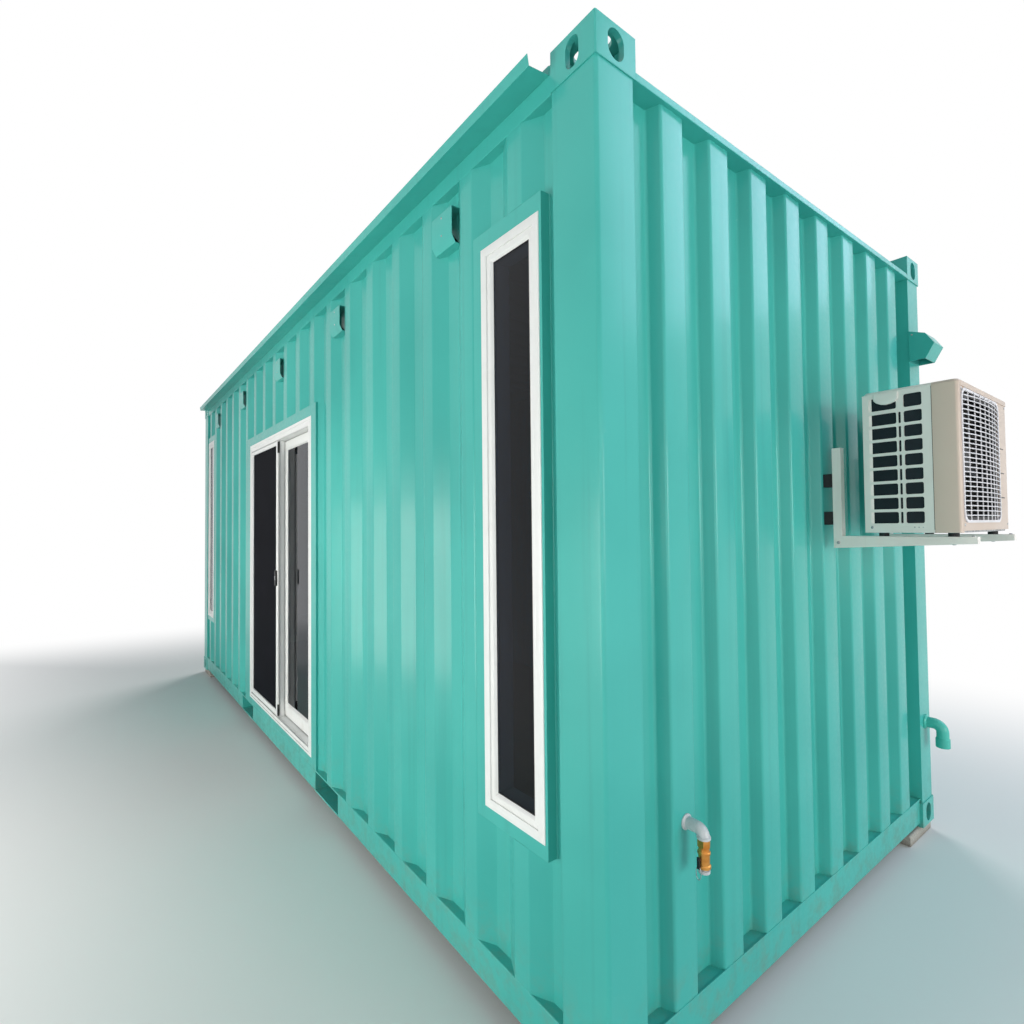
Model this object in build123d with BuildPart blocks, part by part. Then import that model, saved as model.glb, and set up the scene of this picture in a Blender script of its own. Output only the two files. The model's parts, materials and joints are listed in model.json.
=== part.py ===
from build123d import *
from math import cos, radians, sin
import os

# A 20 ft high container made into a small cabin, standing on four pads.
# +X runs along the container to the end with the air conditioner, -Y is the
# front with the door and windows, and Z = 0 is the ground.

# Whole container
container_length = 6058.0
container_width = 2438.0
container_height = 2896.0
sheet = 2.0

# Pads on the ground
pad_length = 320.0
pad_width = 290.0
pad_height = 50.0
pad_inset = 12.0
pad_edge = 6.0

# Corner fittings
fitting_length = 178.0
fitting_width = 162.0
fitting_height = 118.0
fitting_side_wall = 18.0
fitting_deck = 15.0
fitting_edge = 5.0
deck_slot_length = 124.0
deck_slot_width = 63.5
end_slot_height = 88.0
end_slot_width = 64.0
side_slot_height = 88.0
side_slot_width = 52.0

# Corner posts
post_end_face = 153.0
post_inset = 4.0
post_sheet = 6.0
post_corner_radius = 12.0

# Rails
rail_inset = 5.0
rail_bottom = 18.0
rail_height = 119.0
rail_flange = 48.0
rail_sheet = 4.5
top_rail_height = 90.0
top_rail_width = 60.0
top_rail_sheet = 3.0
end_rail_inset = 14.0
header_lip = 22.0
header_slope = 74.0
header_sheet = 4.0

# Ribs pressed into the long walls
rib_pitch = 281.0
rib_crest = 72.0
rib_slope = 68.0
rib_depth = 36.0

# Ribs pressed into the end walls
end_rib_pitch = 250.0
end_rib_crest = 110.0
end_rib_slope = 18.0
end_rib_depth = 45.6

# Roof panel with shallow cross ribs
roof_rib_pitch = 209.0
roof_rib_width = 91.0
roof_rib_end_gap = 80.0
roof_rib_rise = 18.0
roof_rib_slant = 45.0
roof_edge = 4.0

# Floor
board_thickness = 28.0
cross_member_width = 45.0
cross_member_sheet = 4.0
cross_member_pitch = 290.0
pocket_centre = 935.0
pocket_width = 360.0
pocket_plate = 4.0

# Door opening in the front wall
door_left = -863.0
door_width = 1542.0
door_bottom = 183.0
door_height = 2020.0
door_frame_depth = 110.0
door_jamb = 53.0
door_sill = 40.0
door_surround_side = 85.0
door_surround_top = 65.0
surround_plate = 4.0
surround_depth = 38.0

# Door panels, from the outside inwards
running_gap = 5.0
roller_gap = 0.3
screen_setback = 2.0
screen_thickness = 12.0
screen_stile = 40.0
screen_top_rail = 28.0
screen_bottom_rail = 40.0
mesh_thickness = 1.5
panel_thickness = 32.0
panel_stile = 70.0
panel_top_rail = 50.0
panel_bottom_rail = 75.0
panel_edge = 2.0
glass_thickness = 6.0
roller_radius = 14.0
roller_width = 8.0
roller_inset = 120.0
screen_roller_radius = 9.0
screen_roller_width = 5.0
latch_height = 150.0
latch_width = 22.0
latch_projection = 14.0
latch_taper = 12.0
latch_level = 1130.0
handle_level = 1120.0
handle_length = 230.0
handle_width = 24.0
handle_projection = 30.0
handle_grip = 12.0

# Windows, the same at both ends of the front wall
window_post_gap = 66.0
window_width = 302.0
window_bottom = 606.0
window_top_gap = 313.0
window_frame_face = 30.0
window_sash_face = 28.0
window_frame_depth = 80.0
window_frame_proud = 3.0
window_sash_step = 5.0
window_glass_setback = 14.0
window_surround_inner = 49.0
window_surround_outer = 11.0
window_surround_top = 58.0
window_surround_bottom = 44.0

# Gutter along the front of the roof
gutter_end_gap = 11.0
gutter_hang = 30.0
gutter_reach = 77.0
gutter_fall = 9.0
gutter_lip = 33.0
gutter_lip_lean = 6.0

# Vent covers high on the front wall
vent_rib_step = 4
vent_width = 144.0
vent_height = 133.0
vent_top_gap = 80.0
vent_projection = 17.0
vent_slant = 28.0
vent_sheet = 3.0

# Air conditioner on the right end wall
ac_width = 620.0
ac_setout = 165.0
ac_depth = 290.0
ac_bottom = 1498.0
ac_height = 512.0
ac_shell = 3.0
ac_corner_radius = 22.0
lid_height = 24.0
lid_overhang = 2.5
lid_edge = 7.0
louvre_rows = 9
louvre_height = 31.0
louvre_pitch = 46.5
louvre_inset = 30.0
louvre_wide = 92.0
louvre_narrow = 66.0
louvre_rib = 7.0
louvre_slot = 10.0
louvre_radius = 7.0
louvre_first = 68.0
grip_height = 34.0
grip_radius = 12.0
grip_projection = 7.0
coil_thickness = 30.0
coil_gap = 10.0
coil_end_gap = 90.0

# Fan grille, a shallow cage of bars over the opening in the casing's front
grille_near_margin = 24.0
grille_width = 452.0
grille_height = 440.0
grille_corner_radius = 36.0
grille_lap = 9.0
grille_bulge = 15.0
grille_bar = 4.0
grille_rows = 22
grille_row_pitch = 19.0
grille_uprights = 4

# Fan behind the grille
fan_setback = 72.0
fan_motor_radius = 52.0
fan_hub_radius = 46.0
fan_hub_depth = 56.0
blade_count = 3
blade_radius = 192.0
blade_root_chord = 70.0
blade_tip_chord = 150.0
blade_sheet = 3.0
blade_tip_share = 0.82
blade_pitch = 24.0

# Wall brackets under the air conditioner
bracket_span_ribs = 2
bracket_crest_offset = 32.0
bracket_width = 32.0
bracket_sheet = 4.0
bracket_leg = 395.0
bracket_leg_depth = 32.0
bracket_arm = 449.0
bracket_arm_height = 48.0
bracket_tip_height = 24.0
bracket_setout = 34.0
spacer_height = 52.0
lower_spacer_rise = 118.0
upper_spacer_rise = 268.0
foot_radius = 16.0
foot_height = 20.0
foot_inset = 40.0

# Hood on the far post at the right end
hood_top_gap = 272.0
hood_height = 155.0
hood_projection = 108.0
hood_shoulder = 70.0
hood_nose_rise = 70.0
hood_shoulder_rise = 129.0
hood_width = 140.0
hood_sheet = 3.0
hood_far_inset = 19.0

# Drain elbow on the same post
drain_level = 507.0
drain_from_edge = 77.0
drain_radius = 29.0
drain_bore = 25.0
drain_reach = 75.0
drain_bend = 42.0
drain_drop = 110.0
drain_collar = 36.0
drain_collar_height = 45.0
drain_flange = 40.0
drain_flange_depth = 10.0

# Water inlet near the front post
inlet_crest_offset = 7.0
inlet_level = 650.0
inlet_radius = 22.0
inlet_reach = 62.0
inlet_bend = 32.0
inlet_drop = 42.0
inlet_flange = 30.0
inlet_flange_depth = 6.0
inlet_collar = 25.0
inlet_collar_height = 8.0
hexagon_radius = 23.0
hexagon_height = 16.0
brass_neck = 13.0
brass_radius = 18.0
brass_height = 84.0
brass_ring = 22.0
brass_ring_height = 9.0
brass_spigot = 12.0
brass_spigot_height = 14.0
brass_round = 3.0

os.makedirs("parts", exist_ok=True)

half_length = container_length / 2
half_width = container_width / 2
base = pad_height
post_length = fitting_length - post_inset
post_width = post_end_face - post_inset
post_inner_x = half_length - fitting_length
post_inner_y = half_width - post_end_face
fitting_inner_y = half_width - fitting_width
wall_face = half_width - rail_inset
end_face = half_length - end_rail_inset
wall_bottom = base + rail_bottom + rail_height
wall_top = base + container_height - fitting_height
wall_height = wall_top - wall_bottom
rail_span = 2 * post_inner_x
rib_count = 2 * int((rail_span / 2 - rib_crest / 2 - rib_slope) / rib_pitch + 0.5)
end_rib_count = 2 * int((post_inner_y - end_rib_crest / 2 - end_rib_slope) / end_rib_pitch + 0.5)
vent_count = 2 * int((rail_span - vent_width) / (2 * vent_rib_step * rib_pitch)) + 1
first_rib = (rail_span - (rib_count - 1) * rib_pitch) / 2
valley_width = rib_pitch - rib_crest - 2 * rib_slope
roof_width = 2 * (wall_face - roof_edge)
roof_rib_length = roof_width - 2 * roof_rib_end_gap
roof_rib_count = 2 * int((rail_span - roof_rib_width) / (2 * roof_rib_pitch)) + 1
cross_member_count = 2 * int((rail_span - cross_member_width) / (2 * cross_member_pitch)) + 1
roof_level = wall_top + top_rail_height
floor_level = wall_bottom - rail_sheet


def finish(piece, name):
    """Label a finished piece and write it to its own file."""
    piece.part.label = name
    export_step(piece.part, f"parts/{name}.step")


def ribbed_outline(length, count, first, pitch, crest, slope, depth):
    """Points of a pressed sheet from 0 to length, with crests at 0 and valleys at depth."""
    points = [(0, depth)]
    for index in range(count):
        centre = first + index * pitch
        points += [(centre - crest / 2 - slope, depth), (centre - crest / 2, 0)]
        points += [(centre + crest / 2, 0), (centre + crest / 2 + slope, depth)]
    points.append((length, depth))
    return points


def long_sheet(plane):
    """Face of a ribbed long wall, drawn from the post beside the air conditioner."""
    with BuildSketch(plane) as face:
        with BuildLine():
            Polyline(ribbed_outline(rail_span, rib_count, first_rib, rib_pitch,
                                    rib_crest, rib_slope, rib_depth))
            offset(amount=sheet, side=Side.LEFT, kind=Kind.INTERSECTION)
        make_face()
    return face.sketch


def at_four_corners():
    """Mirror what is built at the +X, -Y corner to the other three corners."""
    mirror(about=Plane.YZ)
    mirror(about=Plane.XZ)


# Pads under the four corners
with BuildPart() as footing_pads:
    with BuildSketch():
        pad_x = half_length - pad_inset - pad_length / 2
        pad_y = half_width - pad_inset - pad_width / 2
        with Locations((pad_x, -pad_y)):
            Rectangle(pad_length, pad_width)
    extrude(amount=pad_height)
    chamfer(footing_pads.faces().sort_by(Axis.Z)[-1].edges(), pad_edge)
    at_four_corners()
finish(footing_pads, "footing_pads")


def corner_fittings(name, level, deck_level):
    """Four hollow cast corner fittings with slots in their end and side faces and in one deck."""
    middle = level + fitting_height / 2
    centre_x = half_length - fitting_length / 2
    centre_y = half_width - fitting_width / 2
    with BuildPart() as fittings:
        with BuildSketch(Plane.XY.offset(level)):
            with Locations((centre_x, -centre_y)):
                Rectangle(fitting_length, fitting_width)
        extrude(amount=fitting_height)
        fillet(fittings.edges().filter_by(Axis.Z).sort_by(Axis.X)[-2:].sort_by(Axis.Y)[0], fitting_edge)
        with BuildSketch(Plane.XY.offset(level + fitting_deck)):
            with Locations((centre_x, -centre_y)):
                Rectangle(fitting_length - 2 * fitting_side_wall, fitting_width - 2 * fitting_side_wall)
        extrude(amount=fitting_height - 2 * fitting_deck, mode=Mode.SUBTRACT)
        with BuildSketch(Plane.XY.offset(deck_level)):
            with Locations((centre_x, -centre_y)):
                SlotOverall(deck_slot_length, deck_slot_width)
        extrude(amount=fitting_deck, mode=Mode.SUBTRACT)
        with BuildSketch(Plane.YZ.offset(centre_x)):
            with Locations((-centre_y, middle)):
                SlotOverall(end_slot_height, end_slot_width, rotation=90)
        extrude(amount=fitting_length, mode=Mode.SUBTRACT)
        with BuildSketch(Plane.XZ.offset(centre_y)):
            with Locations((centre_x, middle)):
                SlotOverall(side_slot_height, side_slot_width, rotation=90)
        extrude(amount=fitting_width, mode=Mode.SUBTRACT)
        at_four_corners()
    finish(fittings, name)


corner_fittings("bottom_corner_fittings", base, base)
corner_fittings("top_corner_fittings", wall_top, wall_top + fitting_height - fitting_deck)

# Hollow corner posts between the fittings
with BuildPart() as corner_posts:
    post_level = base + fitting_height
    with BuildSketch(Plane.XY.offset(post_level)) as post_outline:
        with Locations((post_inner_x + post_length / 2, -post_inner_y - post_width / 2)):
            Rectangle(post_length, post_width)
        fillet(post_outline.vertices().sort_by(Axis.X)[-2:].sort_by(Axis.Y)[0], post_corner_radius)
        offset(amount=-post_sheet, mode=Mode.SUBTRACT)
    extrude(amount=wall_top - post_level)
    at_four_corners()
finish(corner_posts, "corner_posts")

# Top side rails, square tubes between the top fittings
with BuildPart() as top_side_rails:
    with BuildSketch(Plane.YZ.offset(-post_inner_x)):
        with Locations((-wall_face + top_rail_width / 2, wall_top + top_rail_height / 2)):
            Rectangle(top_rail_width, top_rail_height)
        offset(amount=-top_rail_sheet, mode=Mode.SUBTRACT)
    extrude(amount=rail_span)
    mirror(about=Plane.XZ)
finish(top_side_rails, "top_side_rails")

# Bottom side rails, channels with their webs outside, cut for the fork pockets
pocket_outer_height = rail_height - 2 * rail_sheet
pocket_outer_width = pocket_width + 2 * pocket_plate
pocket_level = base + rail_bottom + rail_height / 2
with BuildPart() as bottom_side_rails:
    with BuildSketch(Plane.YZ.offset(-post_inner_x)):
        with Locations((-wall_face + rail_flange / 2, pocket_level)):
            Rectangle(rail_flange, rail_height)
        with Locations((-wall_face + rail_flange / 2 + rail_sheet, pocket_level)):
            Rectangle(rail_flange, pocket_outer_height, mode=Mode.SUBTRACT)
    extrude(amount=rail_span)
    with BuildSketch(Plane.XZ.offset(wall_face - rail_sheet)):
        with Locations((-pocket_centre, pocket_level), (pocket_centre, pocket_level)):
            Rectangle(pocket_outer_width, pocket_outer_height)
    extrude(amount=rail_sheet, mode=Mode.SUBTRACT)
    mirror(about=Plane.XZ)
finish(bottom_side_rails, "bottom_side_rails")

# Fork pockets, tunnels right across the base
with BuildPart() as fork_pockets:
    with BuildSketch(Plane.XZ.offset(-wall_face)):
        with Locations((-pocket_centre, pocket_level), (pocket_centre, pocket_level)):
            Rectangle(pocket_outer_width, pocket_outer_height)
            Rectangle(pocket_width, pocket_outer_height - 2 * pocket_plate, mode=Mode.SUBTRACT)
    extrude(amount=2 * wall_face)
finish(fork_pockets, "fork_pockets")

# End rails between the fittings, a channel below and a sloped header above
with BuildPart() as bottom_end_rails:
    with BuildSketch(Plane.XZ.offset(-fitting_inner_y)):
        with Locations((end_face - rail_flange / 2, pocket_level)):
            Rectangle(rail_flange, rail_height)
        with Locations((end_face - rail_flange / 2 - rail_sheet, pocket_level)):
            Rectangle(rail_flange, pocket_outer_height, mode=Mode.SUBTRACT)
    extrude(amount=2 * fitting_inner_y)
    mirror(about=Plane.YZ)
finish(bottom_end_rails, "bottom_end_rails")

with BuildPart() as top_end_rails:
    with BuildSketch(Plane.XZ.offset(-fitting_inner_y)):
        with BuildLine():
            Polyline(
                (half_length, wall_top),
                (half_length, wall_top + header_lip),
                (half_length - header_slope, roof_level + sheet),
                (post_inner_x, roof_level + sheet),
                (post_inner_x, wall_top),
                close=True,
            )
        make_face()
        offset(amount=-header_sheet, mode=Mode.SUBTRACT)
    extrude(amount=2 * fitting_inner_y)
    mirror(about=Plane.YZ)
finish(top_end_rails, "top_end_rails")

# Ribbed end walls
end_span = 2 * post_inner_y
end_first_rib = post_inner_y - (end_rib_count - 1) * end_rib_pitch / 2
end_corner = Plane(origin=(end_face, -post_inner_y, wall_bottom), x_dir=(0, 1, 0), z_dir=(0, 0, 1))


def end_wall(name):
    """End wall at +X, or its mirror image at -X."""
    with BuildPart() as wall:
        with BuildSketch(end_corner):
            with BuildLine():
                Polyline(ribbed_outline(end_span, end_rib_count, end_first_rib, end_rib_pitch,
                                        end_rib_crest, end_rib_slope, end_rib_depth))
                offset(amount=sheet, side=Side.LEFT, kind=Kind.INTERSECTION)
            make_face()
        extrude(amount=wall_height)
        if name == "left_end_wall":
            mirror(about=Plane.YZ, mode=Mode.REPLACE)
    finish(wall, name)


end_wall("right_end_wall")
end_wall("left_end_wall")

# Ribbed long walls
front_corner = Plane(origin=(post_inner_x, -wall_face, wall_bottom), x_dir=(-1, 0, 0), z_dir=(0, 0, -1))
with BuildPart() as back_wall:
    add(long_sheet(front_corner))
    extrude(amount=wall_height, dir=(0, 0, 1))
    mirror(about=Plane.XZ, mode=Mode.REPLACE)
finish(back_wall, "back_wall")

door_right = door_left + door_width
door_top = door_bottom + door_height
surround_left = door_left - door_surround_side
surround_right = door_right + door_surround_side
surround_top = base + door_top + door_surround_top
surround_width = surround_right - surround_left
surround_height = surround_top - wall_bottom
window_right = post_inner_x - window_post_gap
window_height = wall_top - window_top_gap - base - window_bottom
window_middle_z = base + window_bottom + window_height / 2
window_centre = window_right - window_width / 2
window_hole_width = window_width + window_surround_inner + window_surround_outer
window_hole_height = window_height + window_surround_top + window_surround_bottom
window_hole_centre = window_centre - (window_surround_inner - window_surround_outer) / 2
window_hole_middle = window_middle_z + (window_surround_top - window_surround_bottom) / 2

with BuildPart() as front_wall_left:
    add(long_sheet(front_corner))
    extrude(amount=wall_height, dir=(0, 0, 1))
    split(bisect_by=Plane.YZ.offset(surround_left), keep=Keep.BOTTOM)
    with BuildSketch(Plane.XZ.offset(wall_face - surround_depth)):
        with Locations((-window_hole_centre, window_hole_middle)):
            Rectangle(window_hole_width, window_hole_height)
    extrude(amount=surround_depth, mode=Mode.SUBTRACT)
finish(front_wall_left, "front_wall_left")

with BuildPart() as front_wall_right:
    add(long_sheet(front_corner))
    extrude(amount=wall_height, dir=(0, 0, 1))
    split(bisect_by=Plane.YZ.offset(surround_right), keep=Keep.TOP)
    with BuildSketch(Plane.XZ.offset(wall_face - surround_depth)):
        with Locations((window_hole_centre, window_hole_middle)):
            Rectangle(window_hole_width, window_hole_height)
    extrude(amount=surround_depth, mode=Mode.SUBTRACT)
finish(front_wall_right, "front_wall_right")

with BuildPart() as front_wall_over_door:
    add(long_sheet(front_corner))
    extrude(amount=wall_height, dir=(0, 0, 1))
    split(bisect_by=Plane.YZ.offset(surround_left), keep=Keep.TOP)
    split(bisect_by=Plane.YZ.offset(surround_right), keep=Keep.BOTTOM)
    split(bisect_by=Plane.XY.offset(surround_top), keep=Keep.TOP)
finish(front_wall_over_door, "front_wall_over_door")

# Roof sheet with hollow pressed ribs, between the two headers
with BuildPart() as roof_panel:
    with BuildSketch(Plane.XY.offset(roof_level)):
        Rectangle(rail_span, roof_width)
    extrude(amount=sheet)
    with BuildSketch(Plane.XY.offset(roof_level + sheet)):
        with GridLocations(roof_rib_pitch, 0, roof_rib_count, 1):
            Rectangle(roof_rib_width, roof_rib_length)
    extrude(amount=roof_rib_rise, taper=roof_rib_slant)
    with BuildSketch(Plane.XY.offset(roof_level)):
        with GridLocations(roof_rib_pitch, 0, roof_rib_count, 1):
            Rectangle(roof_rib_width, roof_rib_length)
    extrude(amount=roof_rib_rise, taper=roof_rib_slant, mode=Mode.SUBTRACT)
finish(roof_panel, "roof_panel")

# Plywood floor between the rails, notched round the posts
with BuildPart() as floor_boards:
    floor_x = end_face - rail_flange
    floor_y = wall_face - rail_flange
    with BuildSketch(Plane.XY.offset(floor_level)):
        Rectangle(2 * floor_x, 2 * floor_y)
        with GridLocations(2 * floor_x, 2 * floor_y, 2, 2):
            Rectangle(2 * (floor_x - post_inner_x), 2 * (floor_y - fitting_inner_y), mode=Mode.SUBTRACT)
    extrude(amount=board_thickness)
finish(floor_boards, "floor_boards")

# Channels under the floor, left out where the fork pockets run
with BuildPart() as floor_cross_members:
    member_length = 2 * (wall_face - rail_sheet)
    member_places = []
    for index in range(cross_member_count):
        place = (index - (cross_member_count - 1) / 2) * cross_member_pitch
        if abs(abs(place) - pocket_centre) > (pocket_outer_width + cross_member_width) / 2:
            member_places.append((place, pocket_level))
    with BuildSketch(Plane.XZ.offset(-member_length / 2)):
        with Locations(*member_places):
            Rectangle(cross_member_width, pocket_outer_height)
        web_places = [(x + cross_member_sheet, z) for x, z in member_places]
        with Locations(*web_places):
            Rectangle(cross_member_width, pocket_outer_height - 2 * cross_member_sheet, mode=Mode.SUBTRACT)
    extrude(amount=member_length)
finish(floor_cross_members, "floor_cross_members")

# Folded steel surround welded into the wall round the door
surround_centre = (surround_left + surround_right) / 2
surround_middle = (wall_bottom + surround_top) / 2
door_centre = door_left + door_width / 2
door_middle = base + door_bottom + door_height / 2
with BuildPart() as door_surround:
    with BuildSketch(Plane.XZ.offset(wall_face - surround_plate)):
        with Locations((surround_centre, surround_middle)):
            Rectangle(surround_width, surround_height)
        with Locations((door_centre, door_middle)):
            Rectangle(door_width, door_height, mode=Mode.SUBTRACT)
    extrude(amount=surround_plate)
    with BuildSketch(Plane.XZ.offset(wall_face - surround_depth)):
        with Locations((surround_centre, surround_middle)):
            Rectangle(surround_width, surround_height)
            Rectangle(surround_width - 2 * surround_plate, surround_height - 2 * surround_plate,
                      mode=Mode.SUBTRACT)
    extrude(amount=surround_depth)
finish(door_surround, "door_surround")

# White door frame
frame_face = wall_face
door_clear_left = door_left + door_jamb
door_clear_right = door_right - door_jamb
door_clear_bottom = base + door_bottom + door_sill
door_clear_top = base + door_top - door_jamb
door_clear_centre = (door_clear_left + door_clear_right) / 2
door_clear_middle = (door_clear_bottom + door_clear_top) / 2
with BuildPart() as door_frame:
    with BuildSketch(Plane.XZ.offset(frame_face - door_frame_depth)):
        with Locations((door_centre, door_middle)):
            Rectangle(door_width, door_height)
        with Locations((door_clear_centre, door_clear_middle)):
            Rectangle(door_clear_right - door_clear_left, door_clear_top - door_clear_bottom,
                      mode=Mode.SUBTRACT)
    extrude(amount=door_frame_depth)
finish(door_frame, "door_frame")


def glazed_panel(name, left, right, bottom, top, front):
    """White framed door panel; returns the centre, size and back of its glass."""
    opening_width = right - left - 2 * panel_stile
    opening_height = top - bottom - panel_top_rail - panel_bottom_rail
    centre = (left + right) / 2
    opening_middle = (bottom + panel_bottom_rail + top - panel_top_rail) / 2
    with BuildPart() as panel:
        with BuildSketch(Plane.XZ.offset(front - panel_thickness)):
            with Locations((centre, (bottom + top) / 2)):
                Rectangle(right - left, top - bottom)
        extrude(amount=panel_thickness)
        chamfer(panel.edges().filter_by(Axis.Z), panel_edge)
        with BuildSketch(Plane.XZ.offset(front - panel_thickness)):
            with Locations((centre, opening_middle)):
                Rectangle(opening_width, opening_height)
        extrude(amount=panel_thickness, mode=Mode.SUBTRACT)
        if name == "sliding_door_panel":
            groove_back = front - (panel_thickness + roller_width) / 2 - roller_gap
            with BuildSketch(Plane.XZ.offset(groove_back)):
                with Locations(*roller_places(left, right, bottom)):
                    Circle(roller_radius + roller_gap)
            extrude(amount=roller_width + 2 * roller_gap, mode=Mode.SUBTRACT)
    finish(panel, name)
    return (centre, opening_middle), (opening_width, opening_height)


def roller_places(left, right, bottom):
    """Centres of two rollers that stand just off the sill under a panel."""
    height = bottom - running_gap + roller_gap + roller_radius
    return [(left + roller_inset, height), (right - roller_inset, height)]


def pane(name, centre, size, back):
    """Sheet of glass filling a panel's opening."""
    with BuildPart() as glass:
        with BuildSketch(Plane.XZ.offset(back)):
            with Locations(centre):
                Rectangle(*size)
        extrude(amount=glass_thickness)
    finish(glass, name)


# Fixed glass panel on the left, in the middle track
screen_front = frame_face - screen_setback
fixed_front = screen_front - screen_thickness - running_gap
sliding_front = fixed_front - panel_thickness - running_gap
meeting_right = door_clear_centre + panel_stile / 2
meeting_left = door_clear_centre - panel_stile / 2
glass_back = (panel_thickness + glass_thickness) / 2
fixed_centre, fixed_size = glazed_panel("fixed_door_panel", door_clear_left, meeting_right,
                                        door_clear_bottom, door_clear_top, fixed_front)
pane("fixed_door_glass", fixed_centre, fixed_size, fixed_front - glass_back)

# Sliding glass panel on the right, in the inner track
sliding_left = meeting_left
sliding_right = door_clear_right - running_gap
sliding_bottom = door_clear_bottom + running_gap
sliding_top = door_clear_top - running_gap
sliding_centre, sliding_size = glazed_panel("sliding_door_panel", sliding_left, sliding_right,
                                            sliding_bottom, sliding_top, sliding_front)
pane("sliding_door_glass", sliding_centre, sliding_size, sliding_front - glass_back)

with BuildPart() as sliding_door_rollers:
    with BuildSketch(Plane.XZ.offset(sliding_front - (panel_thickness + roller_width) / 2)):
        with Locations(*roller_places(sliding_left, sliding_right, sliding_bottom)):
            Circle(roller_radius)
    extrude(amount=roller_width)
finish(sliding_door_rollers, "sliding_door_rollers")

# Pull handles on both faces of the lock stile
with BuildPart() as sliding_door_handle:
    handle_x = sliding_right - panel_stile / 2
    handle_z = base + handle_level
    for face, direction in ((sliding_front, 1), (sliding_front - panel_thickness, -1)):
        with BuildSketch(Plane.XZ.offset(face)):
            with Locations((handle_x, handle_z)):
                SlotOverall(handle_length, handle_width, rotation=90)
                Rectangle(handle_width, handle_length - 3 * handle_width, mode=Mode.SUBTRACT)
        extrude(amount=direction * (handle_projection - handle_grip))
        with BuildSketch(Plane.XZ.offset(face + direction * (handle_projection - handle_grip))):
            with Locations((handle_x, handle_z)):
                SlotOverall(handle_length, handle_width, rotation=90)
        extrude(amount=direction * handle_grip)
finish(sliding_door_handle, "sliding_door_handle")

# Insect screen on the outer track, parked in front of the fixed panel
screen_left = door_clear_left + running_gap
screen_right = meeting_right + running_gap
screen_bottom = door_clear_bottom + running_gap
screen_top = door_clear_top - running_gap
screen_centre = (screen_left + screen_right) / 2
mesh_width = screen_right - screen_left - 2 * screen_stile
mesh_height = screen_top - screen_bottom - screen_top_rail - screen_bottom_rail
mesh_middle = (screen_bottom + screen_bottom_rail + screen_top - screen_top_rail) / 2
screen_roller_height = screen_bottom - running_gap + roller_gap + screen_roller_radius
screen_roller_places = ((screen_left + roller_inset, screen_roller_height),
                        (screen_right - roller_inset, screen_roller_height))
screen_roller_back = screen_front - (screen_thickness + screen_roller_width) / 2
with BuildPart() as screen_panel:
    with BuildSketch(Plane.XZ.offset(screen_front - screen_thickness)):
        with Locations((screen_centre, (screen_bottom + screen_top) / 2)):
            Rectangle(screen_right - screen_left, screen_top - screen_bottom)
        with Locations((screen_centre, mesh_middle)):
            Rectangle(mesh_width, mesh_height, mode=Mode.SUBTRACT)
    extrude(amount=screen_thickness)
    with BuildSketch(Plane.XZ.offset(screen_roller_back - roller_gap)):
        with Locations(*screen_roller_places):
            Circle(screen_roller_radius + roller_gap)
    extrude(amount=screen_roller_width + 2 * roller_gap, mode=Mode.SUBTRACT)
finish(screen_panel, "screen_panel")

with BuildPart() as screen_mesh:
    with BuildSketch(Plane.XZ.offset(screen_front - (screen_thickness + mesh_thickness) / 2)):
        with Locations((screen_centre, mesh_middle)):
            Rectangle(mesh_width, mesh_height)
    extrude(amount=mesh_thickness)
finish(screen_mesh, "screen_mesh")

with BuildPart() as screen_rollers:
    with BuildSketch(Plane.XZ.offset(screen_roller_back)):
        with Locations(*screen_roller_places):
            Circle(screen_roller_radius)
    extrude(amount=screen_roller_width)
finish(screen_rollers, "screen_rollers")

with BuildPart() as screen_latch:
    with BuildSketch(Plane.XZ.offset(screen_front)):
        with Locations((screen_right - screen_stile / 2, base + latch_level)):
            SlotOverall(latch_height, latch_width, rotation=90)
    extrude(amount=latch_projection, taper=latch_taper)
finish(screen_latch, "screen_latch")

# Window surrounds, frames and panes, mirrored to the far end
with BuildPart() as window_surrounds:
    with BuildSketch(Plane.XZ.offset(wall_face - surround_plate)):
        with Locations((window_hole_centre, window_hole_middle)):
            Rectangle(window_hole_width, window_hole_height)
        with Locations((window_centre, window_middle_z)):
            Rectangle(window_width, window_height, mode=Mode.SUBTRACT)
    extrude(amount=surround_plate)
    with BuildSketch(Plane.XZ.offset(wall_face - surround_depth)):
        with Locations((window_hole_centre, window_hole_middle)):
            Rectangle(window_hole_width, window_hole_height)
            Rectangle(window_hole_width - 2 * surround_plate, window_hole_height - 2 * surround_plate,
                      mode=Mode.SUBTRACT)
    extrude(amount=surround_depth)
    mirror(about=Plane.YZ)
finish(window_surrounds, "window_surrounds")

window_front = wall_face + window_frame_proud
window_glass_width = window_width - 2 * (window_frame_face + window_sash_face)
window_glass_height = window_height - 2 * (window_frame_face + window_sash_face)
with BuildPart() as window_frames:
    with BuildSketch(Plane.XZ.offset(window_front - window_frame_depth)):
        with Locations((window_centre, window_middle_z)):
            Rectangle(window_width, window_height)
            Rectangle(window_glass_width, window_glass_height, mode=Mode.SUBTRACT)
    extrude(amount=window_frame_depth)
    with BuildSketch(Plane.XZ.offset(window_front - window_sash_step)):
        with Locations((window_centre, window_middle_z)):
            Rectangle(window_width - 2 * window_frame_face, window_height - 2 * window_frame_face)
    extrude(amount=window_sash_step, mode=Mode.SUBTRACT)
    mirror(about=Plane.YZ)
finish(window_frames, "window_frames")

with BuildPart() as window_panes:
    with BuildSketch(Plane.XZ.offset(window_front - window_glass_setback - glass_thickness)):
        with Locations((window_centre, window_middle_z)):
            Rectangle(window_glass_width, window_glass_height)
    extrude(amount=glass_thickness)
    mirror(about=Plane.YZ)
finish(window_panes, "window_panes")

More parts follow.
